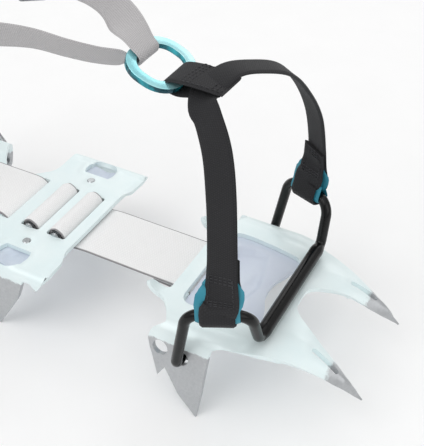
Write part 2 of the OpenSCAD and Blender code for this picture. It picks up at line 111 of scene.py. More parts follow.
class Mat:
    """A Principled material and short ways to add nodes to it."""

    def __init__(self, name, rough=0.5, metal=0.0, **sockets):
        self.m = bpy.data.materials.new(name)
        self.m.use_nodes = True
        self.t = self.m.node_tree
        self.b = self.t.nodes["Principled BSDF"]
        self.b.inputs["Roughness"].default_value = rough
        self.b.inputs["Metallic"].default_value = metal
        for k, v in sockets.items():
            self.b.inputs[k.replace("_", " ")].default_value = v
        self.height = None

    def node(self, kind, props=None, **inputs):
        n = self.t.nodes.new(kind)
        for k, v in (props or {}).items():
            setattr(n, k, v)
        for k, v in inputs.items():
            self.put(n, k.replace("_", " "), v)
        return n

    def put(self, n, key, v):
        s = n.inputs[int(key[1:])] if key[0] == "i" and key[1:].isdigit() else n.inputs[key]
        if isinstance(v, bpy.types.NodeSocket):
            self.t.links.new(v, s)
        else:
            s.default_value = v

    def math(self, op, a, b=0.0, c=0.0):
        n = self.node("ShaderNodeMath", {"operation": op})
        for i, v in enumerate((a, b, c)):
            self.put(n, f"i{i}", v)
        return n.outputs[0]

    def noise(self, scale, detail=3.0, rough=0.5, stretch=None):
        coords = self.node("ShaderNodeTexCoord").outputs["Object"]
        if stretch:
            mp = self.node("ShaderNodeMapping", Vector=coords)
            mp.inputs["Scale"].default_value = stretch
            coords = mp.outputs[0]
        n = self.node("ShaderNodeTexNoise", Vector=coords, Scale=scale, Detail=detail,
                      Roughness=rough)
        return n.outputs["Fac"]

    def span(self, value, a, b, lo=0.0, hi=1.0):
        return self.node("ShaderNodeMapRange", Value=value, From_Min=a, From_Max=b,
                         To_Min=lo, To_Max=hi).outputs[0]

    def mix(self, fac, a, b, how="MIX"):
        n = self.node("ShaderNodeMix", {"data_type": "RGBA", "blend_type": how})
        for i, v in ((0, fac), (6, a), (7, b)):
            self.put(n, f"i{i}", v)
        return n.outputs[2]

    def attr(self, name):
        return self.node("ShaderNodeAttribute", {"attribute_name": name}).outputs["Fac"]

    def color(self, socket):
        self.put(self.b, "Base Color", socket)

    def rough(self, socket):
        self.put(self.b, "Roughness", socket)

    def bump(self, height, distance, strength=1.0):
        n = self.node("ShaderNodeBump", Height=height, Distance=distance, Strength=strength)
        if self.height is not None:
            self.t.links.new(self.height, n.inputs["Normal"])
        self.height = n.outputs[0]
        self.put(self.b, "Normal", self.height)


def frame_material():
    m = Mat("mint_anodised", 0.36, 0.35)
    base = m.mix(m.noise(60, 4), srgb(225, 242, 244), srgb(241, 250, 250))
    brushed = m.noise(900, 2, 0.6, (1, 0.08, 1))
    metal = m.mix(brushed, srgb(172, 175, 178), srgb(196, 198, 200))
    worn = m.math("ADD", m.attr("bare"), m.span(m.noise(420, 5, 0.7), 0.35, 0.75, -0.14, 0.14))
    worn = m.span(worn, 0.4, 0.6)
    m.color(m.mix(worn, base, metal))
    m.put(m.b, "Metallic", m.span(worn, 0, 1, 0.12, 0.62))
    m.rough(m.span(m.noise(300, 4), 0.3, 0.7, 0.30, 0.44))
    m.bump(m.noise(2600, 2), 0.00005, 0.35)
    m.bump(m.noise(90, 3), 0.0002, 0.25)
    return m.m


def pad_material():
    m = Mat("lavender_pad", 0.42)
    m.color(m.mix(m.noise(45, 5), srgb(200, 207, 224), srgb(220, 229, 238)))
    m.rough(m.span(m.noise(800, 3), 0.3, 0.7, 0.36, 0.55))
    m.bump(m.noise(1500, 3), 0.00008, 0.5)
    return m.m


def gloss_black(name, tint, rough):
    m = Mat(name, rough)
    hair = m.span(m.noise(700, 6, 0.75, (1, 0.15, 1)), 0.62, 0.72)
    m.color(m.mix(hair, tint, srgb(24, 27, 27)))
    m.b.inputs["Specular IOR Level"].default_value = 0.32
    m.rough(m.span(m.noise(160, 4), 0.3, 0.7, rough * 0.8, rough * 1.4))
    m.bump(m.noise(420, 2), 0.00008, 0.35)
    return m.m


def webbing(name, dark, light, rib, col, depth, edge=None, rough=0.85, sheen=0.25):
    """Plain weave from the strap's own U (along) and V (across), in millimetres."""
    m = Mat(name, rough, 0.0, Sheen_Weight=sheen, Sheen_Roughness=0.5)
    uv = m.node("ShaderNodeTexCoord").outputs["UV"]
    sep = m.node("ShaderNodeSeparateXYZ", Vector=uv)
    u, v = sep.outputs[0], sep.outputs[1]
    u = m.math("MULTIPLY", u, 1000.0)
    v = m.math("MULTIPLY", v, 1000.0)
    cell = m.math("FLOOR", m.math("DIVIDE", v, col))
    phase = m.math("ADD", m.math("MULTIPLY", u, 2 * math.pi / rib),
                   m.math("MULTIPLY", cell, math.pi))
    warp = m.math("SINE", phase)
    across = m.math("ABSOLUTE", m.math("SINE", m.math("MULTIPLY", v, math.pi / col)))
    h = m.math("MULTIPLY", m.span(warp, -1, 1, 0.25, 1), m.math("POWER", across, 0.6))
    fluff = m.noise(2200, 3, 0.7)
    tone = m.math("ADD", m.math("MULTIPLY", h, 0.6), m.math("MULTIPLY", fluff, 0.4))
    base = m.mix(m.span(tone, 0.2, 0.9), dark, light)
    base = m.mix(m.span(m.noise(25, 4), 0.35, 0.75, 0, 0.25), base, light)
    if edge is not None:
        off = m.math("ABSOLUTE", m.math("SUBTRACT", v, LINK_W / 2))
        base = m.mix(m.span(off, LINK_W / 2 - 1.0, LINK_W / 2 - 0.6), base, edge)
    m.color(base)
    m.bump(m.math("ADD", h, m.math("MULTIPLY", fluff, 0.3)), depth)
    return m.m


def plain_metal(name, tint, dark, rough, stretch=(1, 1, 1), coat=0.0, metal=1.0):
    m = Mat(name, rough, metal, Coat_Weight=coat)
    n = m.noise(900, 3, 0.6, stretch)
    m.color(m.mix(m.span(n, 0.3, 0.7), tint, dark))
    m.rough(m.span(m.noise(240, 4), 0.3, 0.7, rough * 0.75, rough * 1.3))
    m.bump(n, 0.00004, 0.5)
    return m.m


def moulded(name, tint, light, rough, depth=0.0001, scale=1300):
    m = Mat(name, rough)
    m.color(m.mix(m.span(m.noise(70, 5), 0.3, 0.75), tint, light))
    m.rough(m.span(m.noise(500, 3), 0.3, 0.7, rough * 0.85, rough * 1.2))
    m.bump(m.noise(scale, 3), depth, 0.6)
    return m.m


def ring_material():
    m = Mat("teal_anodised_ring", 0.2, 0.55, Coat_Weight=0.3, Coat_Roughness=0.08)
    tone = m.noise(55, 2)
    # painted highlight: pale lit teal for the ring's flat top face
    top = m.mix(m.span(tone, 0.3, 0.7), srgb(150, 222, 230), srgb(196, 240, 244))
    # painted shade: dark teal for the ring's side walls, laid over the top colour by the side-wall mask
    # from flat_ring
    wall_shade = m.mix(m.span(m.noise(120, 2), 0.4, 0.6), srgb(12, 70, 82), srgb(48, 176, 190))
    m.color(m.mix(m.attr("wall_shade"), top, wall_shade))
    m.rough(m.span(m.noise(380, 5, 0.7), 0.3, 0.75, 0.16, 0.3))
    m.bump(m.noise(900, 3), 0.00004, 0.4)
    return m.m


M_FRAME = frame_material()
M_PAD = pad_material()
M_WIRE = gloss_black("gloss_black_wire", srgb(5, 6, 6), 0.13)
M_SLEEVE = gloss_black("gloss_black_sleeve", srgb(5, 5, 6), 0.2)
M_LINER = moulded("teal_liner", srgb(34, 126, 148), srgb(58, 150, 170), 0.5, 0.00012)
M_BLACK = webbing("black_webbing", srgb(16, 16, 18), srgb(38, 38, 42), 0.95, 1.05, 0.00010, sheen=0.06)
M_GREY = webbing("grey_webbing", srgb(165, 163, 164), srgb(203, 201, 202), 0.85, 0.9, 0.00014,
                 sheen=0.1)
M_LINK = webbing("white_webbing", srgb(236, 236, 236), srgb(252, 252, 252), 1.0, 1.0, 0.00014,
                 edge=srgb(138, 136, 138), rough=0.8, sheen=0.05)
M_THREAD_BLACK = moulded("black_thread", srgb(24, 24, 26), srgb(60, 60, 64), 0.7, 0.0001, 3000)
M_THREAD_WHITE = moulded("white_thread", srgb(205, 205, 206), srgb(235, 235, 235), 0.7, 0.0001, 3000)
M_RING = ring_material()
M_STEEL = plain_metal("bright_steel", srgb(196, 198, 200), srgb(160, 162, 165), 0.24, (1, 0.1, 1))
M_RIVET = plain_metal("rivet_metal", srgb(205, 209, 211), srgb(176, 180, 182), 0.3)
M_LIP = plain_metal("stamped_steel", srgb(176, 179, 182), srgb(138, 141, 144), 0.32, (1, 0.06, 1))
M_SADDLE = plain_metal("machined_alloy", srgb(172, 176, 179), srgb(140, 144, 147), 0.34, (0.1, 1, 0.1))
M_LEVER = moulded("black_nylon", srgb(26, 28, 30), srgb(46, 48, 51), 0.46, 0.00016, 900)
M_WHEEL = plain_metal("teal_wheel", srgb(40, 142, 164), srgb(24, 108, 130), 0.26, coat=0.3, metal=0.85)
M_ELASTIC = webbing("black_elastic", srgb(18, 18, 19), srgb(44, 44, 46), 0.6, 0.7, 0.0002)


# ---- mesh helpers

def add(name, verts, faces, body, material, stands_for=(), angle=40.0, uv=None,
        attributes=None, modifiers=(), ride=True):
    """A new piece from vertices in millimetres (CAD axes) that rides on a body."""
    me = bpy.data.meshes.new(name)
    me.from_pydata([P(v) for v in verts], [], faces)
    me.validate()
    me.shade_smooth()
    me.set_sharp_from_angle(angle=math.radians(angle))
    if uv:
        layer = me.uv_layers.new(name="UVMap")
        for loop in me.loops:
            u, v = uv[loop.vertex_index]
            layer.data[loop.index].uv = (u * 0.001, v * 0.001)
    for key, values in (attributes or {}).items():
        a = me.attributes.new(key, "FLOAT", "POINT")
        a.data.foreach_set("value", np.array(values, np.float32))
    me.materials.append(material)
    ob = bpy.data.objects.new(name, me)
    bpy.context.scene.collection.objects.link(ob)
    for kind, settings in modifiers:
        mod = ob.modifiers.new(kind.lower(), kind)
        for k, v in settings.items():
            setattr(mod, k, v)
    if ride:
        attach(ob, body)
    if stands_for:
        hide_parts(*stands_for)
    return ob


BEVEL = ("BEVEL", {"width": 0.0003, "segments": 2, "limit_method": "ANGLE",
                   "angle_limit": math.radians(50), "use_clamp_overlap": True})
PAD_BEVEL = ("BEVEL", {"width": 0.0004, "segments": 2, "limit_method": "ANGLE",
                       "angle_limit": math.radians(60)})


def length_of(dense):
    return sum((q[0] - p[0]).length for p, q in zip(dense, dense[1:]))


def wall_faces(rows, m):
    """Quads between rows of m points each, closed round every row."""
    return [(i * m + k, i * m + (k + 1) % m, (i + 1) * m + (k + 1) % m, (i + 1) * m + k)
            for i in range(rows - 1) for k in range(m)]


def end_caps(rows, m):
    return [tuple(reversed(range(m))), tuple(range(rows * m - m, rows * m))]


def round_rect(hx, hy, r, seg):
    """Corner arcs of a rectangle of half sizes hx and hy: (x, y, outward x, outward y)."""
    out = []
    for sx, sy, a0 in ((1, 1, 0), (-1, 1, 90), (-1, -1, 180), (1, -1, 270)):
        for k in range(seg + 1):
            a = math.radians(a0 + 90 * k / seg)
            out.append((sx * (hx - r) + r * math.cos(a), sy * (hy - r) + r * math.sin(a),
                        math.cos(a), math.sin(a)))
    return out


def densify(poly, step):
    out = []
    for a, b in zip(poly, poly[1:] + poly[:1]):
        n = max(1, int(math.dist(a, b) / step))
        out += [(a[0] + (b[0] - a[0]) * i / n, a[1] + (b[1] - a[1]) * i / n) for i in range(n)]
    return out


def rounded_corners(poly, radius, keep=()):
    """The polygon with its corners rounded; keep lists corners left sharp."""
    out, n = [], len(poly)
    for i, p in enumerate(poly):
        a, b = poly[i - 1], poly[(i + 1) % n]
        r = min(radius, 0.45 * math.dist(a, p), 0.45 * math.dist(b, p))
        if i in keep or r < 0.05:
            out.append(p)
            continue
        pa = [p[k] + (a[k] - p[k]) * r / math.dist(a, p) for k in (0, 1)]
        pb = [p[k] + (b[k] - p[k]) * r / math.dist(b, p) for k in (0, 1)]
        for t in (0, 0.25, 0.5, 0.75, 1):
            out.append(tuple((1 - t) ** 2 * pa[k] + 2 * t * (1 - t) * p[k] + t * t * pb[k]
                             for k in (0, 1)))
    return out


def circle(cx, cy, r, n=28):
    return [(cx + r * math.cos(2 * math.pi * i / n), cy + r * math.sin(2 * math.pi * i / n))
            for i in range(n)]


def slot_outline(a, b, r):
    """Outline of a slot with round ends from a to b."""
    t = math.atan2(b[1] - a[1], b[0] - a[0])
    out = []
    for (cx, cy), base in ((b, t - math.pi / 2), (a, t + math.pi / 2)):
        for i in range(9):
            w = base + math.pi * i / 8
            out.append((cx + r * math.cos(w), cy + r * math.sin(w)))
    return out


def inside(px, py, poly, holes=()):
    """Which points lie in the polygon and outside its holes."""
    hit = np.zeros(len(px), bool)
    for (x0, y0), (x1, y1) in zip(poly, poly[1:] + poly[:1]):
        cross = ((y0 > py) != (y1 > py))
        with np.errstate(divide="ignore", invalid="ignore"):
            hit ^= cross & (px < (x1 - x0) * (py - y0) / ((y1 - y0) or 1e-12) + x0)
    for hole in holes:
        hit &= ~inside(px, py, hole)
    return hit


def far_from(px, py, pts, limit):
    """Which points lie further than limit from every one of pts."""
    pts = np.array(pts)
    keep = np.ones(len(px), bool)
    for i in range(0, len(px), 400):
        d = np.hypot(px[i:i + 400, None] - pts[None, :, 0], py[i:i + 400, None] - pts[None, :, 1])
        keep[i:i + 400] = d.min(1) > limit
    return keep


def flat_pattern(outline, holes, step):
    """Triangles that fill an outline with holes, about as large as step."""
    pts, edges = [], []
    for loop in [densify(line, step) for line in (outline, *holes)]:
        k = len(pts)
        pts += loop
        edges += [(k + i, k + (i + 1) % len(loop)) for i in range(len(loop))]
    xs, ys = [p[0] for p in outline], [p[1] for p in outline]
    gx, gy = [], []
    row, y = 0, min(ys)
    while y < max(ys):
        x = min(xs) + (step / 2 if row % 2 else 0)
        while x < max(xs):
            gx.append(x)
            gy.append(y)
            x += step
        y += step * 0.866
        row += 1
    gx, gy = np.array(gx), np.array(gy)
    ok = inside(gx, gy, outline, holes) & far_from(gx, gy, pts, step * 0.55)
    pts += list(zip(gx[ok], gy[ok]))
    out = delaunay_2d_cdt([Vector(p) for p in pts], edges, [], 0, 1e-6)
    v, f = out[0], out[2]
    cx = np.array([sum(v[i][0] for i in t) / 3 for t in f])
    cy = np.array([sum(v[i][1] for i in t) / 3 for t in f])
    tris = []
    for t, good in zip(f, inside(cx, cy, outline, holes)):
        if not good:
            continue
        (ax, ay), (bx, by), (qx, qy) = (v[i] for i in t)
        area = (bx - ax) * (qy - ay) - (by - ay) * (qx - ax)
        if abs(area) > 1e-7:
            tris.append(tuple(t) if area > 0 else tuple(reversed(t)))
    return [(p[0], p[1]) for p in v], tris


def sheet_metal(name, outline, holes, shape, thick, body, material, stands_for=(),
                step=1.7, bare=None, modifiers=(BEVEL,)):
    """Folded sheet.  outline and holes are the flat pattern's left half, shape(u, v) is
    the point of the top face, thick(u, v) the thickness, bare(u, v) the wear."""
    pts, tris = flat_pattern(outline, holes, step)
    used = sorted({i for t in tris for i in t})
    index = {old: new for new, old in enumerate(used)}
    pts = [pts[i] for i in used]
    tris = [tuple(index[i] for i in t) for t in tris]
    twin, extra = {}, []
    for i, p in enumerate(pts):
        if abs(p[1]) < 1e-4:
            twin[i] = i
        else:
            twin[i] = len(pts) + len(extra)
            extra.append((p[0], -p[1]))
    pts = pts + extra
    tris = tris + [tuple(twin[i] for i in reversed(t)) for t in tris]
    top, low, wear = [], [], []
    for u, v in pts:
        c = Vector(shape(u, v))
        du = Vector(shape(u + 0.05, v)) - Vector(shape(u - 0.05, v))
        dv = Vector(shape(u, v + 0.05)) - Vector(shape(u, v - 0.05))
        nrm = du.cross(dv).normalized()
        top.append(c)
        low.append(c - nrm * thick(u, v))
        wear.append(bare(u, v) if bare else 0.0)
    n = len(pts)
    faces = list(tris) + [tuple(i + n for i in reversed(t)) for t in tris]
    seen = {edge: 1 for t in tris for edge in zip(t, t[1:] + t[:1])}
    faces += [(b, a, a + n, b + n) for a, b in seen if (b, a) not in seen]
    return add(name, top + low, faces, body, material, stands_for, 38,
               attributes={"bare": wear + wear}, modifiers=modifiers)


def filleted(points, radii, step=0.7):
    """A path through points with its corners turned into arcs."""
    pts = [Vector(p) for p in points]
    out = [pts[0]]
    for i in range(1, len(pts) - 1):
        a, p, b = pts[i - 1], pts[i], pts[i + 1]
        d0, d1 = (a - p).normalized(), (b - p).normalized()
        half = d0.angle(d1) / 2
        cut = min(radii[i] / math.tan(half), 0.49 * (a - p).length, 0.49 * (b - p).length)
        r = cut * math.tan(half)
        centre = p + (d0 + d1).normalized() * (r / math.sin(half))
        s0, s1 = p + d0 * cut - centre, p + d1 * cut - centre
        sweep = s0.angle(s1)
        steps = max(4, int(sweep * r / step))
        for k in range(steps + 1):
            t = k / steps
            out.append(centre + (s0 * math.sin((1 - t) * sweep) + s1 * math.sin(t * sweep))
                       / math.sin(sweep))
    out.append(pts[-1])
    dense = [out[0]]
    for a, b in zip(out, out[1:]):
        n = max(1, int((b - a).length / (step * 2.5)))
        dense += [a.lerp(b, k / n) for k in range(1, n + 1)]
    return dense


def tube_mesh(path, radius, seg=18, round_ends=True):
    """Vertices and faces of a round bar along a dense path."""
    radii = radius if isinstance(radius, (list, tuple)) else [radius] * len(path)
    path, radii = list(path), list(radii)
    if round_ends:
        for end in (0, -1):
            p, q = path[end], path[1 if end == 0 else -2]
            out = (p - q).normalized()
            r = radii[end]
            for t in (0.5, 1.0, 1.4):
                at = 0 if end == 0 else len(path)
                path.insert(at, p + out * (0.6 * r * math.sin(t)))
                radii.insert(at, r * math.cos(t))
    verts = []
    side = (path[1] - path[0]).normalized().orthogonal().normalized()
    for i, p in enumerate(path):
        a = path[max(i - 1, 0)]
        b = path[min(i + 1, len(path) - 1)]
        t = (b - a).normalized()
        side = (side - t * side.dot(t)).normalized()
        up = t.cross(side)
        for k in range(seg):
            w = 2 * math.pi * k / seg
            verts.append(p + (side * math.cos(w) + up * math.sin(w)) * radii[i])
    return verts, wall_faces(len(path), seg) + end_caps(len(path), seg)


def lathe(axis_at, axis, prof, seg=30):
    """Turned part: prof is (distance along the axis, radius)."""
    at, d = Vector(axis_at), Vector(axis)
    return tube_mesh([at + d * s for s, _ in prof], [r for _, r in prof], seg, False)


def bent_wire(half, radii, r, seg):
    """Wire whose left half is given, with the fillet at each of its points."""
    whole = half + [(x, -y, z) for x, y, z in reversed(half)]
    return tube_mesh(filleted(whole, radii + radii[::-1]), r, seg)


def wire_heads(x, y, z, prof, seg):
    """Upset heads on a wire's two ends, inside the flanges."""
    return join([lathe((x, side * y, z), (0, -side, 0), prof, seg) for side in (1, -1)])


def join(parts):
    verts, faces = [], []
    for v, f in parts:
        k = len(verts)
        verts += list(v)
        faces += [tuple(i + k for i in t) for t in f]
    return verts, faces


def spline(values, i, t):
    """Catmull-Rom between values[i] and values[i + 1]."""
    p0 = values[max(i - 1, 0)]
    p1, p2 = values[i], values[i + 1]
    p3 = values[min(i + 2, len(values) - 1)]
    return 0.5 * ((2 * p1) + (p2 - p0) * t + (2 * p0 - 5 * p1 + 4 * p2 - p3) * t * t
                  + (3 * p1 - p0 - 3 * p2 + p3) * t ** 3)


def resample(stations, step=1.0):
    """Dense (centre, width direction, width) along a strap's stations."""
    c = [Vector(s[0]) for s in stations]
    w = [Vector(s[1]).normalized() * s[2] for s in stations]
    out = []
    for i in range(len(c) - 1):
        n = max(2, int((c[i + 1] - c[i]).length / step))
        for k in range(n):
            t = k / n
            out.append((spline(c, i, t), spline(w, i, t)))
    out.append((c[-1], w[-1]))
    width = stations[0][2]
    return [(p, d.normalized(), width) for p, d in out]


def strap_mesh(dense, thick, across=12, wave=0.0, seed=1):
    """A woven strap: flat faces, rounded selvages, UVs along and across."""
    rnd = random.Random(seed)
    ph = [rnd.uniform(0, 6.28) for _ in range(4)]
    profile = []
    for k in range(across + 1):
        v = -0.5 + k / across
        edge = min(1.0, (0.5 - abs(v)) * 15 / 0.9)
        profile.append((v, 0.5 * math.sqrt(max(0.0, 1 - (1 - edge) ** 2)) if edge < 1 else 0.5))
    ring = [(v, h) for v, h in profile] + [(v, -h) for v, h in reversed(profile[1:-1])]
    verts, uv = [], []
    length = 0.0
    for i, (c, d, width) in enumerate(dense):
        a = dense[max(i - 1, 0)][0]
        b = dense[min(i + 1, len(dense) - 1)][0]
        if i:
            length += (c - dense[i - 1][0]).length
        t = (b - a).normalized()
        d = (d - t * d.dot(t)).normalized()
        nrm = t.cross(d)
        for v, h in ring:
            lift = wave * (math.sin(length / 9 + ph[0]) * math.sin(v * 4 + ph[1])
                           + 0.5 * math.sin(length / 4.3 + ph[2] + v * 3))
            verts.append(c + d * (v * width) + nrm * (h * thick + lift))
            uv.append((length, (v + 0.5) * width))
    n, m = len(dense), len(ring)
    return verts, wall_faces(n, m) + end_caps(n, m), uv


def stitches(points, normals, pitch=2.1, long=1.6, r=0.24):
    """Thread along a path that lies on a surface, one short capsule per stitch."""
    seg = [(b - a).length for a, b in zip(points, points[1:])]
    total = sum(seg)
    count = max(1, int(total / pitch))
    parts = []
    for k in range(count):
        s = (k + 0.5) * total / count
        i = 0
        while i < len(seg) - 1 and s > seg[i]:
            s -= seg[i]
            i += 1
        t = s / seg[i]
        p = points[i].lerp(points[i + 1], t)
        nrm = normals[i].lerp(normals[i + 1], t).normalized()
        d = (points[i + 1] - points[i]).normalized() * (long / 2)
        path = [p - d - nrm * 0.25, p - d * 0.55 + nrm * 0.12, p + nrm * 0.2,
                p + d * 0.55 + nrm * 0.12, p + d - nrm * 0.25]
        parts.append(tube_mesh(path, r, 6, False))
    return join(parts)


def on_strap(dense, thick, side, samples):
    """Points and normals on a strap's face: samples of (station share, across share)."""
    pts, nrms = [], []
    for s, v in samples:
        x = s * (len(dense) - 1)
        i = min(int(x), len(dense) - 2)
        t = x - i
        c = dense[i][0].lerp(dense[i + 1][0], t)
        d = dense[i][1].lerp(dense[i + 1][1], t).normalized()
        tan = (dense[i + 1][0] - dense[i][0]).normalized()
        d = (d - tan * d.dot(tan)).normalized()
        nrm = tan.cross(d) * side
        pts.append(c + d * (v * dense[i][2]) + nrm * thick / 2)
        nrms.append(nrm)
    return pts, nrms


def line(a, b, n=14):
    return [(a[0] + (b[0] - a[0]) * k / n, a[1] + (b[1] - a[1]) * k / n) for k in range(n + 1)]


def placed(side, verts, faces):
    """The left piece as it is (side 1), or its mirror image for the right (side -1)."""
    if side > 0:
        return verts, faces
    return [Vector((v[0], -v[1], v[2])) for v in verts], [tuple(reversed(f)) for f in faces]


# ---- front frame

LEAN, R_FRONT, FLAT_FRONT = math.radians(10.8), 8.0, 38.0
ARC_FRONT = (math.pi / 2 - LEAN) * R_FRONT
BEND_END = FLAT_FRONT + ARC_FRONT


def front_s(z):
    """Flat-pattern distance of a height on the front flange."""
    return BEND_END + (PZ - R_FRONT + R_FRONT * math.sin(LEAN) - z) / math.cos(LEAN)


RIDGE = [(36, 22), (40, 22.3), (55, 23.8), (66, 25.2), (80, 25.4)]
OUTER = [(20, 42.5), (34, 38), (45, 35.4), (56, 32.6), (67, 29.6), (80, 25.8)]
INNER = [(36, 7), (39.4, 8.8), (47.9, 13.4), (56.2, 17.4), (64.3, 19.6), (71.3, 21.8), (80, 25.0)]
DROP_OUT = [(20, 0), (28, 0.9), (34, 2.6), (45, 3.6), (56, 4.4), (67, 4.8), (76, 3), (80, 0.8)]
DROP_IN = [(38, 0), (41, 0.5), (48, 1.4), (56, 2.6), (64.3, 4.0), (71.3, 4.2), (77, 2.6), (80, 0.8)]


def front_shape(x, s):
    """Point of the top face over the flat pattern's (x, s)."""
    side, a = (1 if s >= 0 else -1), abs(s)
    if a <= FLAT_FRONT:
        y, z = a, PZ
    elif a <= BEND_END:
        t = (a - FLAT_FRONT) / R_FRONT
        y, z = FLAT_FRONT + R_FRONT * math.sin(t), PZ - R_FRONT + R_FRONT * math.cos(t)
    else:
        t = a - BEND_END
        y = FLAT_FRONT + R_FRONT * math.cos(LEAN) + t * math.sin(LEAN)
        z = PZ - R_FRONT + R_FRONT * math.sin(LEAN) - t * math.cos(LEAN)
    if x > 38:
        z += math.sqrt(53 ** 2 - (x - 38) ** 2) - 53
    if x > 20 and a < 46:
        ridge = lerp(RIDGE, x)
        if a > ridge:
            q = min(1.0, (a - ridge) / max(0.3, lerp(OUTER, x) - ridge))
            z -= lerp(DROP_OUT, x) * q ** 2.0
        elif x > 38:
            q = min(1.0, (ridge - a) / max(0.3, ridge - lerp(INNER, x)))
            z -= lerp(DROP_IN, x) * q ** 1.8
    if x > 42 and a < 38:
        # pressed rib along the point, and the dished rim of its slot
        ridge = lerp(RIDGE, x)
        z += 0.55 * math.exp(-((a - ridge) / 1.6) ** 2) * smooth(40, 50, x) * (1 - smooth(52, 55, x))
        t = min(1.0, max(0.0, (x - 55.5) / 10.6))
        d = math.hypot(x - (55.5 + 10.6 * t), a - (23.8 + 1.5 * t))
        z -= 0.7 * math.exp(-((d - 1.5) / 1.6) ** 2)
    # groove beside the shoulder, and the creases of the window's rim
    if -12 < x < 34:
        edge = 37.2 - 3.4 * smooth(-4, 30, x)
        if a < 44:
            z -= 0.42 * math.exp(-((a - edge) / 0.75) ** 2) * smooth(-12, -7, x) * (1 - smooth(27, 33, x))
    if x < -9.5 and a < 24:
        z -= 0.3 * math.exp(-((x + 14.2) / 0.9) ** 2) * (1 - smooth(19, 23, a))
    if x < -19.5:
        z += 0.09 * (x + 19.5) ** 2
    if a > BEND_END and x > 9:
        y += 0.25 * smooth(9, 13.5, x) * smooth(BEND_END, BEND_END + 8, a)
    return (x, side * y, z)


def front_thick(x, s):
    a = abs(s)
    if a > front_s(16):
        return lerp([(front_s(16), SHEET), (front_s(0), 1.1)], a)
    return lerp([(50, SHEET), (66, 2.3), (80, 0.9)], x) if x > 50 and a < 40 else SHEET


def front_bare(x, s):
    """Where the colour is worn off: the points and the flanges' spikes."""
    a = abs(s)
    if x > 40 and a < 42:
        return smooth(57, 70, x)
    return smooth(BEND_END - 1.5, BEND_END + 5.5, a) if x < 18 else 0.0


front_outline = [
    (-18, 0), (-18, 21.8), (-19.4, 23.2), (-22, 23.4), (-24.6, 23.6), (-26.2, 24.8), (-26.6, 26.4),
    (-25.6, 27.8), (-23.6, 28.3), (-20.6, 28.4), (-17.4, 29.8), (-13.4, 34.4), (-10.2, 39.6),
    (-9.4, 41.6), (-11.0, 43.2), (-14.0, 45.6), (-15.6, 48.6), (-16.2, 51.8), (-16.1, front_s(33)),
    (-15.2, front_s(29.5)), (-13.4, front_s(24.6)), (-10.2, front_s(15)), (-6.6, front_s(20.6)),
    (1.4, front_s(8.4)), (11.0, front_s(0.1)), (11.6, front_s(0.1)), (12.4, front_s(10)),
    (13.4, front_s(22)), (14.3, front_s(34)), (14.9, front_s(38.0) - 1), (16.2, 45.9), (18.6, 44.4),
    (22.5, 43.3), (28, 41.6), (36, 37.9), (45, 35.4), (56, 32.6), (67, 29.6), (79.7, 25.8),
    (79.9, 25.4), (79.6, 25.0), (71.3, 21.8), (64.3, 19.6), (56.2, 17.4), (47.9, 13.4), (42.6, 10.4),
    (39.6, 7.4), (38.8, 4.6), (38.6, 0)]
keep_sharp = {0, 21, 22, 24, 25, 38, 39, 40, len(front_outline) - 1}
front_outline = rounded_corners(front_outline, 1.6, keep_sharp)
front_holes = [
    circle(-9.8, front_s(30.8), 3.9), circle(1.0, front_s(29.4), 3.9),
    slot_outline((55.5, 23.8), (66.1, 25.3), 1.45)]
window = [(-10.4, 0), (-10.4, 23.2), (-9.2, 26.2), (-6.4, 27.7), (0, 28.0), (14, 26.6), (25.5, 24.6),
          (29.5, 21.5), (31.8, 16), (33.2, 8), (33.6, 0)]
# the window reaches the middle line, so the half pattern is cut in two there
on_middle = [i for i, p in enumerate(front_outline) if abs(p[1]) < 1e-9]
path_in = rounded_corners(window, 1.2, {0, len(window) - 1})
half_front = front_outline[on_middle[0]:on_middle[-1] + 1] + list(reversed(path_in))
sheet_metal("front_frame_sheet", half_front, front_holes, front_shape, front_thick,
            "front_section", M_FRAME, ["front_frame"], 1.6, front_bare)


def ear(side):
    """Ear that carries the link pin, folded down from the rear bar."""
    pts = [(-18.1, 41.4), (-9.6, 41.4), (-10.2, 37.0)]
    arc = [(-14 + 3.9 * math.cos(math.radians(a)), 37 + 3.9 * math.sin(math.radians(a)))
           for a in range(0, -181, -15)]
    outline = pts[:2] + arc + [(-18.0, 37.6)]
    n = len(outline)
    verts = [(x, side * 19.6, z) for x, z in outline] + [(x, side * 22.4, z) for x, z in outline]
    faces = [tuple(range(n)), tuple(range(2 * n - 1, n - 1, -1))]
    faces += [(i, i + n, (i + 1) % n + n, (i + 1) % n) for i in range(n)]
    if side > 0:
        faces = [tuple(reversed(f)) for f in faces]
    return verts, faces


v, f = join([ear(1), ear(-1)])
add("link_pin_ears", v, f, "front_section", M_FRAME, modifiers=(BEVEL,))


# ---- anti-balling plate, front

def plateau(px, py, poly, soft):
    """0 outside a convex polygon, 1 well inside it, with a slope soft wide."""
    d = 1e9
    for (x0, y0), (x1, y1) in zip(poly, poly[1:] + poly[:1]):
        ln = math.hypot(x1 - x0, y1 - y0)
        d = min(d, ((x1 - x0) * (py - y0) - (y1 - y0) * (px - x0)) / ln)
    return smooth(0, soft, d)


pan = [(-5.5, -21), (4, -25), (18, -23), (22.4, -17), (20.5, -9), (19, 0), (20.5, 9), (22.4, 17),
       (18, 23), (4, 25), (-5.5, 21)]


def pad_front_shape(x, y):
    z = PZ - SHEET - 0.12
    d = plateau(x, y, pan, 4.2)
    z -= 3.4 * d
    if d > 0:
        # moulded creases that fan out from the pad's middle
        r = math.hypot(x - 8, y + 3)
        w = math.atan2(y + 3, x - 8)
        z += d * 1.15 * (0.5 - abs(((w * 7 / (2 * math.pi)) % 1) - 0.5)) * min(1, r / 10)
        z += d * 0.9 * (1 - smooth(0, 7, abs(x - 8 - 0.25 * y)))
    z -= 0.35 * math.exp(-((x + 7.4) / 0.6) ** 2) * (1 - smooth(16, 19, abs(y)))
    return (x, y, z)


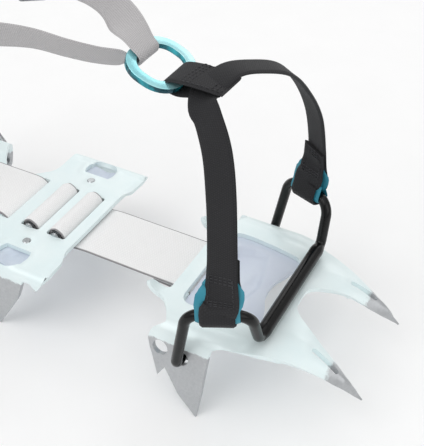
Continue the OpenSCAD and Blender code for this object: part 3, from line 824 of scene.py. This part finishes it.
pad_outline = rounded_corners([
    (-9.2, 0), (-9.2, 29), (-6.4, 31.6), (6, 32.4), (20, 30.6), (27, 25.5), (27.6, 19), (25.6, 12),
    (22.8, 6), (22.0, 0)], 1.8, {0, 9})
sheet_metal("front_pad", pad_outline, [], pad_front_shape, lambda u, v: 1.5, "front_section",
            M_PAD, ["front_antiball_plate"], 1.35,
            modifiers=(PAD_BEVEL,))


# ---- heel section

HEEL_RIVET = (-97.5, 28.0)


def heel_fold(x):
    """Half width of the flat top and bend radius along the heel section."""
    return (44.0, 4.5) if x > -121 else (34.0, 4.0)


def heel_s(z, x):
    """Flat-pattern distance of a height on the heel section's flange."""
    flat, r = heel_fold(x)
    return flat + r * math.pi / 2 + (PZ - r - z)


def heel_shape(x, s):
    side, a = (1 if s >= 0 else -1), abs(s)
    flat, r = heel_fold(x)
    if a <= flat:
        y, z = a, PZ
    elif a <= flat + r * math.pi / 2:
        t = (a - flat) / r
        y, z = flat + r * math.sin(t), PZ - r + r * math.cos(t)
    else:
        y, z = flat + r, PZ - r - (a - flat - r * math.pi / 2)
    if a <= flat:
        # pressed bars and the dish round each rivet and half-moon
        d = math.hypot(x - HEEL_RIVET[0], a - HEEL_RIVET[1])
        z += 0.55 * math.exp(-(d / 3.4) ** 4)
        if x > -121:
            z -= 0.5 * math.exp(-((a - 42.4) / 0.8) ** 2) * smooth(-118, -112, x)
            d = math.hypot(x - HALF_MOON[0], a - HALF_MOON[1])
            z += 0.5 * math.exp(-((d - 10.4) / 0.9) ** 2) * smooth(30, 33, a)
        if x < -150:
            bar = smooth(-181, -176, x) * (1 - smooth(-160, -155, x))
            z += 0.6 * math.exp(-((a - 24.6) / 1.5) ** 2) * bar
    if x > -76.5 and a < 44:
        # front lip, turned down between the wings' corners
        z -= 1.0 * smooth(-76.5, -73.2, x) * smooth(25, 29, a)
    return (x, side * y, z)


def flange(points):
    """Outline points on a flange, given as (x, height)."""
    middle = sum(x for x, _ in points) / len(points)
    return [(x, heel_s(z, middle)) for x, z in points]


wing_half = (
    [(-76, 0), (-76, 24.5), (-75.0, 28.0), (-73.6, 31.5), (-73.4, 43)]
    + flange([(-73.8, 41), (-75.4, 38.6), (-77.8, 34.8), (-80.6, 38.9), (-85.4, 38.9), (-87.4, 33),
              (-91, 24), (-106.2, 0.1), (-107, 0.1), (-111, 13), (-114.5, 26), (-117, 35), (-119.2, 41)])
    + [(-120.1, 44), (-119.9, 30), (-121.4, 25.4), (-126.5, 20.6), (-130.5, 16.4), (-146, 16.4),
       (-153.5, 25), (-158.6, 33)]
    + flange([(-159.6, 41), (-160.6, 34), (-162.4, 27), (-166, 20), (-173.6, 0.1), (-174.4, 0.1),
              (-178, 14), (-181.5, 28), (-183.6, 37)])
    + [(-185.4, 36), (-186.8, 29), (-187, 22), (-187, 0)])
sharp = {0, 7, 8, 12, 13, 30, 31, len(wing_half) - 1}
wing_half = rounded_corners(wing_half, 2.0, sharp)
heel_win = rounded_corners([(-130, 0), (-130, 9.5), (-146, 9.5), (-153, 16), (-162, 16), (-162, 0)],
                           2.2, {0, 5})
slot_win = rounded_corners([(-117, 0), (-117, 18.4), (-121.6, 18.4), (-121.6, 0)], 1.2, {0, 3})
rear_win = rounded_corners([(-169.6, 0), (-169.6, 15), (-178.4, 15), (-178.4, 0)], 2.2, {0, 3})
rod_win = [[(x + 5.6, 0), (x + 5.6, 17.7), (x + 4.8, 18.5), (x - 4.8, 18.5), (x - 5.6, 17.7),
            (x - 5.6, 0)]
           for x in ROD_X]
half_heel = list(wing_half)
for hole in (rear_win, heel_win, slot_win, rod_win[1], rod_win[0]):
    half_heel += list(reversed(hole))
moon = [(x, max(y, 33.6)) for x, y in circle(-98, 38.2, 8.7, 44) if y < 46.9]
clean = [moon[0]]
for p in moon[1:]:
    if math.dist(p, clean[-1]) > 0.35:
        clean.append(p)
heel_holes = [rounded_corners(clean, 0.8), circle(-166, heel_s(30, -150), 2.2, 20)]


def heel_thick(x, s):
    return lerp([(heel_s(16, x), SHEET), (heel_s(0, x), 1.1)], abs(s))


def heel_bare(x, s):
    flat, r = heel_fold(x)
    return smooth(flat + r * 1.57 - 1, flat + r * 1.57 + 7, abs(s))


sheet_metal("heel_frame_sheet", half_heel, heel_holes, heel_shape, heel_thick, "heel_section",
            M_FRAME, ["heel_frame"], 1.7, heel_bare)

pad2 = rounded_corners([(-79.5, 0), (-79.5, 42), (-83, 43.4), (-113, 43.4), (-116.5, 42), (-116.5, 0)],
                       2.0, {0, 5})


def pad_heel_shape(x, y):
    """Tray under the wings: high at the sides, a channel for the webbing between."""
    a = abs(y)
    z = 36.9 + (PZ - SHEET - 37.05) * smooth(18.6, 23.0, a)
    d = math.hypot(x - HALF_MOON[0], a - HALF_MOON[1])
    z -= 2.6 * (1 - smooth(4.0, 7.6, d))
    z += 0.8 * math.exp(-((x + 98 + 0.3 * (a - 38)) / 1.0) ** 2) * (1 - smooth(4, 6.5, d))
    return (x, y, z)


sheet_metal("heel_pad", pad2, [], pad_heel_shape, lambda u, v: 1.3, "heel_section",
            M_PAD, ["heel_antiball_plate"], 1.8,
            modifiers=(PAD_BEVEL,))


# ---- toe bail

BAR = (33.3, PZ + 3.6)
v, f = bent_wire([(1, 43.4, 29.4), (1, 51.6, 29.4), (7.7, 52.6, 66.3), (32.5, 42.4, 68.4),
                  (BAR[0], 34.6, BAR[1])], [0, 4.2, 8.5, 9.0, 4.5], BAIL_WIRE_R, 22)
add("toe_bail_bent_wire", v, f, "toe_bail", M_WIRE, ["toe_bail_wire"], 60)
v, f = wire_heads(1, 44.6, 29.4, [(0.0, 2.5), (0.5, 3.9), (1.4, 4.3), (2.2, 4.1), (2.8, 3.2),
                                  (3.1, 1.2)], 26)
add("toe_bail_heads", v, f, "toe_bail", M_WIRE)

prof = [(-33.4, 2.56), (-32.2, 2.8), (-31.0, 3.1), (-29.6, 3.32), (-28.4, 3.38), (-27, 3.3)]
prof = (prof + [(-26 + 52 * k / 28, 3.3) for k in range(29)] + [(-y, r) for y, r in reversed(prof)])
v, f = lathe((BAR[0], 0, BAR[1]), (0, 1, 0), prof, 30)
add("toe_bar_tube", v, f, "toe_bail", M_SLEEVE, ["toe_bar_sleeve"], 60)


# ---- straps round the toe bail

A = Vector((7.7, 52.6, 66.3))
B = Vector((32.5, 42.4, 68.4))
ALONG = (B - A).normalized()
MID = A.lerp(B, 0.5)
UP = (Vector((0, 0.06, 1)) - ALONG * ALONG.dot(Vector((0, 0.06, 1)))).normalized()
OUT = UP.cross(ALONG).normalized()
OUT = OUT if OUT.y > 0 else -OUT

# (height over the wire, distance from its middle plane) of each layer
STRAP_OUT = [(0, 4.65), (2.2, 3.85), (4.4, 2.98), (7.4, 2.1)]
LINER_OUT = [(0, 3.18), (2.2, 2.45), (4.4, 1.5), (7.4, 0.6)]
LINER_IN = [(0, 3.18), (2.2, 2.45), (4.4, 1.6), (7.4, 0.9)]
STRAP_IN = [(0, 4.65), (4, 3.2), (7, 2.45)]


def wrap(r, near_in, near_out, rises_in, rises_out, width):
    """Stations of a flat band that comes down, goes round under the wire and up again."""
    st = [(MID - OUT * lerp(near_in, t) + UP * t, ALONG, width) for t in reversed(rises_in)]
    for a in range(12, 180, 12):
        w = math.radians(a)
        st.append((MID - OUT * (r * math.cos(w)) - UP * (r * math.sin(w)), ALONG, width))
    st += [(MID + OUT * lerp(near_out, t) + UP * t, ALONG, width) for t in rises_out]
    return st


# (centre, width direction) of each toe strap from the wire up to the tab
RUNS = {
    1: [((22.3, 49.5, 74.8), (0.96, -0.28, 0.1)), ((22.3, 48, 85.5), (0.88, -0.46, 0)),
        ((22.3, 46.4, 96), (0.82, -0.56, -0.1)), ((21, 41.4, 115.5), (0.83, -0.55, -0.06)),
        ((17.2, 34.5, 131), (0.83, -0.56, 0)), ((12, 26.7, 141.6), (0.83, -0.55, 0.05)),
        ((4.7, 16.6, 146.3), (0.82, -0.56, 0.1)), ((-2.6, 5.8, 148), (0.88, -0.47, 0.07)),
        ((-7.2, -6.5, 144.3), (0.98, -0.2, 0))],
    -1: [((22.3, 49.5, 74.8), (0.96, -0.28, 0.1)), ((20.4, 45.4, 85.2), (0.98, 0.03, 0.2)),
         ((18.4, 41.3, 95.5), (0.96, 0.1, 0.25)), ((13.4, 32.8, 114), (0.93, 0.05, 0.36)),
         ((6.7, 23.6, 128), (0.84, -0.07, 0.54)), ((-2, 15, 136.9), (0.73, -0.07, 0.68)),
         ((-6.5, 11, 140.2), (0.87, -0.04, 0.5)), ((-8.1, 3.6, 142.4), (1, -0.02, 0.1)),
         ((-8.1, -7, 142.4), (1, 0, 0.04))]}


def run_at(side, rise):
    """Centre, width direction and outward normal of the main run, at a height over the wire."""
    secs = [(Vector(c), Vector(d)) for c, d in RUNS[side][:5]]
    for (c0, d0), (c1, d1) in zip(secs, secs[1:]):
        r0, r1 = (c0 - MID).dot(UP), (c1 - MID).dot(UP)
        if rise <= r1:
            break
    t = (rise - r0) / (r1 - r0)
    d = d0.lerp(d1, t).normalized()
    n = (c1 - c0).normalized().cross(d)
    return c0.lerp(c1, t), d, n if n.dot(OUT) > 0 else -n


def toe_strap_stations(side):
    st = wrap(4.65, STRAP_IN, STRAP_OUT, (0, 4, 7), (0, 2.2, 4.4), STRAP_W)
    # the inner end lies against the main run above the liner
    inner = []
    for t, gap in ((11, 3.95), (15, 3.0), (18, 1.8), (22, 1.55), (26, 1.53)):
        c, d, n = run_at(side, t)
        inner.append((c - n * gap, d, STRAP_W))
    st = list(reversed(inner)) + st
    return st + [(Vector(c), Vector(d), STRAP_W) for c, d in RUNS[side]]


def liner_piece(side):
    st = wrap(3.18, LINER_IN, LINER_OUT, (0, 2.2, 4.4, 7.4), (0, 2.2, 4.4, 7.4), LINER_W)
    c, d, n = run_at(side, 11)
    st.insert(0, (c - n * 2.7, d, LINER_W))
    for t in (11, 14.5, 18):
        c, d, n = run_at(side, t)
        st.append((c - n * 1.42, d, LINER_W))
    dense = resample(st, 0.9)
    total = len(dense)
    out = []
    for i, (p, d, w) in enumerate(dense):
        # both ends of the liner are chamfered
        t = min(i, total - 1 - i) * 0.9
        out.append((p, d, w - 2 * max(0.0, 3.4 - t) * 0.95))
    v, f, _ = strap_mesh(out, 1.14)
    return placed(side, v, f)


for side, name in SIDES:
    v, f = liner_piece(side)
    add(f"teal_liner_{name}", v, f, "toe_bail", M_LINER, [f"strap_liner_{name}"], 50)

for side, name in SIDES:
    v, f, uv = strap_mesh(resample(toe_strap_stations(side)), TOE_WEB, 14, 0.10, 3 if side > 0 else 5)
    v, f = placed(side, v, f)
    ob = add(f"toe_webbing_{name}", v, f, "toe_bail", M_BLACK,
             [f"toe_strap_{name}"], 60, uv=uv, ride=False)
    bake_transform(ob)


def lean_of(dense, want):
    """Which face of the strap looks towards want."""
    _, nrm = on_strap(dense, 1.0, 1, [(0.5, 0.0)])
    return 1 if nrm[0].dot(Vector(want)) > 0 else -1


def stitch_box(dense, thick, want, s0, s1, half):
    """Box of stitches on the strap's face that looks towards want."""
    side = lean_of(dense, want)
    runs = [line((s0, -half), (s1, -half)), line((s0, half), (s1, half))]
    for k in range(3):
        for s in (s0, s1):
            o = (s1 - s0) * 0.10 * k * (1 if s == s0 else -1)
            runs.append(line((s + o, -half), (s + o, half)))
    return join([stitches(*on_strap(dense, thick, side, run)) for run in runs])


# the boxes that close each toe strap's loop over the wire, outside and inside
for side, name in SIDES:
    stations, run = toe_strap_stations(side), len(RUNS[side])
    outer, inner = resample(stations[-run:-run + 3], 0.8), resample(stations[:5], 0.8)
    v, f = placed(side, *join([stitch_box(outer, TOE_WEB, OUT, 0.02, 0.56, 0.36),
                               stitch_box(inner, TOE_WEB, -OUT, 0.08, 0.93, 0.36)]))
    add(f"toe_strap_stitching_{name}", v, f, "toe_bail", M_THREAD_BLACK)


# ---- ring and tab

RING_REAR, RING_FRONT = Vector((-42.1, 0, 150.0)), Vector((-21.9, 0, 141.6))
RING_DIR = (RING_FRONT - RING_REAR).normalized()
RING_UP = RING_DIR.cross(Vector((0, 1, 0))).normalized()
RING_MID = (RING_REAR + RING_FRONT) / 2


def flat_ring(length, width, radius, face, thick):
    """Ring of flat section with rounded edges, and how much each point is side wall, the mask where the
    ring's side walls get painted shade.
    """
    loop = round_rect((length - face) / 2, (width - face) / 2, radius - face / 2, 10)
    dense = []
    for p, q in zip(loop, loop[1:] + loop[:1]):
        n = max(1, int(math.dist(p[:2], q[:2]) / 1.2))
        dense += [tuple(p[i] + (q[i] - p[i]) * k / n for i in range(4)) for k in range(n)]
    sec = [p[:2] for p in round_rect(face / 2, thick / 2, 0.42, 4)]
    verts, wall_shade = [], []
    n, m = len(dense), len(sec)
    for x, y, nx, ny in dense:
        # side-wall mask: these points get the painted wall shade, the rest the painted top highlight
        wall_shade += [smooth(face / 2 - 0.5, face / 2 - 0.1, abs(a)) * (1 if b < thick / 2 - 0.15 else 0)
                 for a, b in sec]
        ln = math.hypot(nx, ny)
        for a, b in sec:
            verts.append(RING_MID + RING_DIR * (x + nx / ln * a)
                         + Vector((0, y + ny / ln * a, 0)) + RING_UP * b)
    faces = [tuple(i % (n * m) for i in quad) for quad in wall_faces(n + 1, m)]
    return verts, faces, wall_shade


# the side-wall mask goes onto the ring as an attribute for its painted shade and highlight
v, f, wall_shade = flat_ring((RING_FRONT - RING_REAR).length + 4.7, 32, 12, 4.7, 2.8)
add("harness_ring", v, f, "ring", M_RING, ["strap_ring"], 50, attributes={"wall_shade": wall_shade})

# the tab: over the straps, round the ring's front bar and back under them, as
# (x, height, y, width)
tab_line = [(1.6, 145.5, -2.0, 17.0), (-3, 145.8, -1.8, 17.4), (-9, 146.0, -1.3, 18.2),
            (-14, 146.0, -0.9, 18.9), (-18.5, 145.5, -0.3, 19), (-22.2, 144.9, 0, 19),
            (-24.8, 143.9, 0, 19), (-26.0, 142.6, 0, 18.9), (-25.6, 141.0, 0, 18.6),
            (-23.4, 139.5, 0, 18.2), (-19.6, 138.6, 0, 17.6), (-15, 139.4, 0, 17),
            (-9, 140.9, 0, 17), (-3.4, 141.6, 0, 17)]
tab_at = [Vector((x, y, z)) for x, z, y, _ in tab_line]
tab_dense = []
for i, (p, q) in enumerate(zip(tab_at, tab_at[1:])):
    n = max(2, int((q - p).length / 0.8))
    w0, w1 = tab_line[i][3], tab_line[i + 1][3]
    for k in range(n + (1 if i == len(tab_at) - 2 else 0)):
        tab_dense.append((spline(tab_at, i, k / n), Vector((0, 1, 0)), w0 + (w1 - w0) * k / n))
v, f, uv = strap_mesh(tab_dense, WEB, 16, 0.08, 9)
add("harness_tab", v, f, "toe_harness", M_BLACK, ["ring_tab"], 60, uv=uv)
top_part = tab_dense[:26]      # as far as the ring's front bar
v, f = stitch_box(top_part, WEB, (0, 0, 1), 0.06, 0.84, 0.42)
add("harness_tab_stitching", v, f, "toe_harness", M_THREAD_BLACK)


# ---- ankle strap

# seen from above (x, y), and from the side (x, height)
plan = [(-201, 15.2), (-192, 15.2), (-186, 19.5), (-177, 28), (-164, 35.5), (-150, 38), (-112, 38),
        (-97, 34), (-83, 27)]
height = [(-203, 101), (-177, 123), (-150, 142), (-112, 152), (-83, 153.5)]
near_plan = plan[:6] + [(-132, 37), (-112, 31)]
near_height = height[:3] + [(-132, 150.5), (-112, 156)]
far_plan = plan[:7]


def soft_lerp(table, x, r=5.0):
    return (lerp(table, x - r) + 2 * lerp(table, x) + lerp(table, x + r)) / 4


def leg_run(side, x0, x1, step):
    """From the lever to the ring; the upper edge flares out as it nears the ring."""
    ys, zs = (far_plan, height) if side > 0 else (near_plan, near_height)
    st = []
    n = max(2, int(abs(x1 - x0) / step))
    for k in range(n + 1):
        x = x0 + (x1 - x0) * k / n
        y = soft_lerp(ys, x, 4.0 if x > -190 else 1.0)
        a = math.radians(smooth(-150, -92, x) * (20 if side < 0 else 13))
        st.append(((x, side * y, soft_lerp(zs, x)), (0.0, side * math.sin(a), math.cos(a)),
                   STRAP_W))
    return st


near_leg = leg_run(-1, -201, -121, 5.0)
far_leg = leg_run(1, -116, -201, 5.0)
turn = [((-112, -32.2, 154.8), (-0.04, -0.24, 0.97)), ((-96.4, -26.9, 156.1), (0.1, -0.33, 0.94)),
        ((-80.7, -21.0, 155.4), (0.27, -0.37, 0.89)), ((-67.4, -15.9, 151.9), (0.42, -0.38, 0.82)),
        ((-57.4, -10.2, 148.6), (0.48, -0.36, 0.80)), ((-48.8, -4.4, 146.6), (0.46, -0.44, 0.77)),
        ((-45.8, -2.3, 146.2), (0.3, -0.82, 0.45)), ((-43.4, -1.0, 146.3), (0.05, -0.98, 0.15)),
        ((-41.2, -0.4, 146.8), (0, -1, 0)), ((-38.6, -0.2, 147.4), (0, -1, 0)),
        ((-37.5, 0, 149.0), (0, -1, 0)), ((-38.3, 0.3, 150.8), (0, -1, 0)),
        ((-40.6, 1.0, 152.2), (0, -1, 0)), ((-44.6, 2.6, 154.0), (0, -1, -0.03)),
        ((-50, 5.6, 155.6), (-0.03, -0.96, -0.25)), ((-56.5, 9.8, 156.8), (-0.05, -0.83, -0.53)),
        ((-63.5, 14.8, 157.0), (-0.04, -0.65, -0.75)), ((-71, 20.4, 156.4), (-0.02, -0.47, -0.88)),
        ((-79.5, 26.2, 155.4), (0, -0.35, -0.94)), ((-89, 31.2, 154.4), (0, -0.28, -0.96)),
        ((-100, 35.2, 153.2), (0, -0.24, -0.97)), ((-109, 37.1, 152.4), (0, -0.22, -0.97))]
st = near_leg + [(c, d, STRAP_W) for c, d in turn]
# the width direction keeps its sense from the turn to the far leg
st += [(c, (-d[0], -d[1], -d[2]), w) for c, d, w in far_leg]
ankle_dense = resample(st, 1.1)
# rounded ends at the studs
total = len(ankle_dense)
ends = []
for i, (p, d, w) in enumerate(ankle_dense):
    t = min(i, total - 1 - i) * 1.1
    ends.append((p, d, w - 4.4 * (1 - math.sqrt(1 - (1 - min(1, t / 4)) ** 2))))
v, f, uv = strap_mesh(ends, WEB, 14, 0.07, 12)
ob = add("ankle_webbing", v, f, "ankle_front", M_GREY,
         ["ankle_strap_front", "ankle_strap_rear"], 60, uv=uv, ride=False)
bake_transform(ob)

# free end through the buckle and along the outside of the leg
tail_st = []
for x, off in ((-139.5, 1.0), (-137.2, 1.6), (-134.6, 3.2), (-131, 4.55), (-126, 4.6), (-119, 4.6),
               (-112, 4.6), (-105, 4.6), (-98.6, 4.6)):
    y, z = soft_lerp(plan, x, 4.0), soft_lerp(height, x)
    slope = (soft_lerp(plan, x + 2, 4.0) - soft_lerp(plan, x - 2, 4.0)) / 4
    tail_st.append(((x, y + off * math.sqrt(1 + slope * slope), z), (0, 0, 1), 14.6))
tail = resample(tail_st, 0.9)
total = len(tail)
tail = [(p, d, w - 2 * max(0.0, 2.6 - (total - 1 - i) * 0.9)) for i, (p, d, w) in enumerate(tail)]
v, f, uv = strap_mesh(tail, WEB, 12, 0.06, 15)
add("ankle_webbing_tail", v, f, "ankle_rear", M_GREY, ["ankle_strap_tail"], 60,
    uv=uv)

# elastic keeper round the leg and its free end
slope = math.radians(14.74)
kc = Vector((-132, 38, 146.7)) + Vector((math.cos(slope), 0, math.sin(slope))) * 14.0
ku, kw = Vector((math.cos(slope), 0, math.sin(slope))), Vector((-math.sin(slope), 0, math.cos(slope)))
keeper = [(kc + Vector((0, 2.3 + y, 0)) + kw * z, ku, 7.0)
          for y, z, *_ in round_rect(3.85, 8.35, 1.3, 4)]
k0 = keeper[-1][0].lerp(keeper[0][0], 0.5)
keeper = [(k0, ku, 7.0)] + keeper + [(k0 + Vector((0.0, 0.0, 0.25)), ku, 7.0)]
dense = []
for (p, d, w), (q, _, _) in zip(keeper, keeper[1:]):
    n = max(1, int((q - p).length / 1.0))
    dense += [(p.lerp(q, k / n), d, w) for k in range(n)]
dense.append(keeper[-1])
v, f, uv = strap_mesh(dense, 0.8, 8, 0.0, 4)
add("keeper_loop", v, f, "ankle_rear", M_ELASTIC, ["strap_keeper"], 60, uv=uv)


# ---- webbing link

def xz_strap(points, width, step=0.9):
    return resample([((x, 0, z), (0, 1, 0), width) for x, z in points], step)


pin_loop = [(-14 + 2.85 * math.cos(math.radians(a)), 37 + 2.85 * math.sin(math.radians(a)))
            for a in range(-130, 91, 20)]
span = [(-31, 38.2), (-26, 38.2), (-21.5, 37.9), (-18.4, 36.6)] + pin_loop + [
    (-18.5, 39.85), (-26, 39.85), (-40, 39.8), (-55, 39.8), (-68, 39.75), (-74, 39.4),
    (-79, 38.85), (-86, 38.75), (-100, 38.75), (-118, 38.75)]
span_dense = xz_strap(span, LINK_W)
v, f, uv = strap_mesh(span_dense, WEB, 26, 0.06, 21)
ob = add("link_webbing_span", v, f, "link", M_LINK, ["link_strap", "link_strap_tail"],
         60, uv=uv, ride=False)
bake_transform(ob)

laced = [(-78.4, 40.2), (-80.4, 40.25), (-82.6, 41.0), (-83.1, 43.0), (-84.2, 45.2), (-87.5, 46.8),
         (-90.8, 45.2), (-91.9, 43.0), (-92.4, 41.0), (-95.5, 40.2), (-98.6, 41.0), (-99.1, 43.0),
         (-100.2, 45.2), (-103.5, 46.8), (-106.8, 45.2), (-107.9, 43.0), (-108.4, 41.0),
         (-111, 40.25), (-115, 40.25), (-117.6, 40.8), (-119.0, 42.3), (-121.6, 44.0), (-125, 44.5),
         (-130, 44.55), (-142, 44.5), (-154, 44.5), (-166, 44.55), (-175, 44.6)]
laced_dense = xz_strap(laced, LINK_W)
v, f, uv = strap_mesh(laced_dense, WEB, 26, 0.05, 23)
add("link_webbing_laced", v, f, "heel_section", M_LINK, ["link_strap_weave"], 60,
    uv=uv)


def stitch_rows(points, want, shares):
    """Rows of stitches across the webbing, at shares of the length of points."""
    sew = xz_strap(points, LINK_W)
    side = lean_of(sew, want)
    return join([stitches(*on_strap(sew, WEB, side, line((s, -0.43), (s, 0.43), 10)), 2.2, 1.7, 0.2)
                 for s in shares])


# the loop at the pin, and the cut end of the tail
v, f = stitch_rows([(-30.5, 38.2), (-24, 38.2), (-21.5, 38.0)], (0, 0, -1), (0.1, 0.35, 0.6, 0.85))
add("link_stitching", v, f, "link", M_THREAD_WHITE)
v, f = stitch_rows([(-166, 44.55), (-170, 44.57), (-174.4, 44.6)], (0, 0, 1), (0.2, 0.75))
add("link_tail_stitching", v, f, "heel_section", M_THREAD_WHITE)


# ---- heel bail

v, f = bent_wire([(-166, 33.6, 30), (-166, 42, 30), (-184, 40.9, 57), (-196, 27, 76)],
                 [0, 3.6, 8, 5], HEEL_WIRE_R, 20)
add("heel_bail_bent_wire", v, f, "heel_bail", M_STEEL, ["heel_bail_wire"], 60)
v, f = wire_heads(-166, 35.4, 30, [(0.0, 2.0), (0.4, 3.1), (1.1, 3.4), (1.8, 3.2), (2.3, 2.4),
                                   (2.5, 0.9)], 24)
add("heel_bail_heads", v, f, "heel_bail", M_STEEL)


# ---- rods, screw and other CAD parts

def threaded(at, length, r, depth, pitch, seg=28, per=8):
    rows = int(length / pitch * per)
    verts, faces = [], []
    for i in range(rows + 1):
        z = length * i / rows
        fade = min(1.0, min(i, rows - i) / (per * 0.8))
        for k in range(seg):
            w = (z / pitch - k / seg) % 1.0
            cut = depth * abs(2 * w - 1) * fade + 0.35 * (1 - fade)
            a = 2 * math.pi * k / seg
            verts.append(Vector(at) + Vector(((r - cut) * math.cos(a), (r - cut) * math.sin(a), z)))
    for i in range(rows):
        for k in range(seg):
            a, b = i * seg + k, i * seg + (k + 1) % seg
            faces.append((a, b, b + seg, a + seg))
    faces.append(tuple(reversed(range(seg))))
    faces.append(tuple(range(rows * seg, rows * seg + seg)))
    return verts, faces


v, f = threaded((-203.5, 0, 62.5), 33.8, 1.98, 0.42, 1.0)
add("threaded_screw", v, f, "adjuster", M_STEEL, ["adjusting_screw"], 35)

pin_prof = [(0, 2.0), (0.25, 2.6), (0.8, 2.8), (1.3, 2.8), (1.4, 1.8)]
prof = (pin_prof + [(s, 1.8) for s in (12, 24.2, 36.4, 47.0)]
        + [(48.4 - s, r) for s, r in reversed(pin_prof)])
v, f = lathe((-14, -24.2, 37), (0, 1, 0), prof, 28)
add("link_pin_turned", v, f, "front_section", M_STEEL, ["link_pin"], 40)
rod_prof = ([(0, 1.6), (0.5, 2.15)] + [(s, 2.15) for s in (6, 13, 19, 25, 32)]
            + [(37.5, 2.15), (38.0, 1.6)])
v, f = join([lathe((x, -19.0, PZ), (0, 1, 0), rod_prof, 26) for x in ROD_X])
add("weave_rods", v, f, "heel_section", M_STEEL, ["strap_rods"], 40)

dress = {
    "front_plate_rivets": (M_RIVET, 0.00025), "heel_plate_rivets": (M_RIVET, 0.00025),
    "ankle_strap_studs": (M_RIVET, 0.0002), "ankle_buckle": (M_LIP, 0.0005),
    "lever_saddle": (M_SADDLE, 0.0006), "heel_lever": (M_LEVER, 0.0009),
    "lever_lip": (M_LIP, 0.0003), "thumb_wheel": (M_WHEEL, 0.0003)}
for name, (material, width) in dress.items():
    ob = NODES[name]
    ob.data.materials.clear()
    ob.data.materials.append(material)
    mod = ob.modifiers.new("bevel", "BEVEL")
    mod.width, mod.segments = width, 3
    mod.limit_method, mod.angle_limit = "ANGLE", math.radians(40)
    mod.use_clamp_overlap = True
    mod.harden_normals = False

toe_runs = [resample(toe_strap_stations(side)) for side, _ in SIDES]
print("strap lengths mm", [round(length_of(run)) for run in
                           toe_runs + [tab_dense, ankle_dense, tail, span_dense, laced_dense]])


# ---- floor and lights

def stage_plane():
    me = bpy.data.meshes.new("floor")
    s = 6.0
    me.from_pydata([(-s, -s, 0), (s, -s, 0), (s, s, 0), (-s, s, 0)], [], [(0, 1, 2, 3)])
    ob = bpy.data.objects.new("floor", me)
    bpy.context.scene.collection.objects.link(ob)
    m = Mat("floor_paper", 0.9)
    m.color(m.mix(m.noise(30, 3), srgb(249, 249, 249), srgb(253, 253, 253)))
    m.bump(m.noise(600, 2), 0.00005, 0.2)
    me.materials.append(m.m)


def area_light(name, at, to, size, power, tint=(1, 1, 1)):
    data = bpy.data.lights.new(name, "AREA")
    data.shape = "RECTANGLE"
    data.size, data.size_y = size
    data.energy = power
    data.color = tint
    ob = bpy.data.objects.new(name, data)
    bpy.context.scene.collection.objects.link(ob)
    ob.location = at
    ob.rotation_mode = "QUATERNION"
    ob.rotation_quaternion = (Vector(to) - Vector(at)).to_track_quat("-Z", "Y")


stage_plane()
area_light("key", (-0.5, -0.9, 1.3), (0, 0, 0.05), (1.1, 1.1), 6.6)
area_light("fill", (1.2, -0.4, 0.9), (0, 0, 0.05), (1.2, 1.0), 3.0)
area_light("rim", (-0.2, 1.3, 0.9), (0, 0, 0.05), (1.6, 0.7), 4.0)
area_light("top", (0, 0, 1.6), (0, 0, 0), (1.8, 1.8), 4.6)
world = bpy.data.worlds.new("studio")
world.use_nodes = True
world.node_tree.nodes["Background"].inputs["Color"].default_value = (1, 1, 1, 1)
world.node_tree.nodes["Background"].inputs["Strength"].default_value = 0.6
bpy.context.scene.world = world
bpy.context.scene.view_settings.view_transform = "Standard"

bpy.context.view_layer.update()
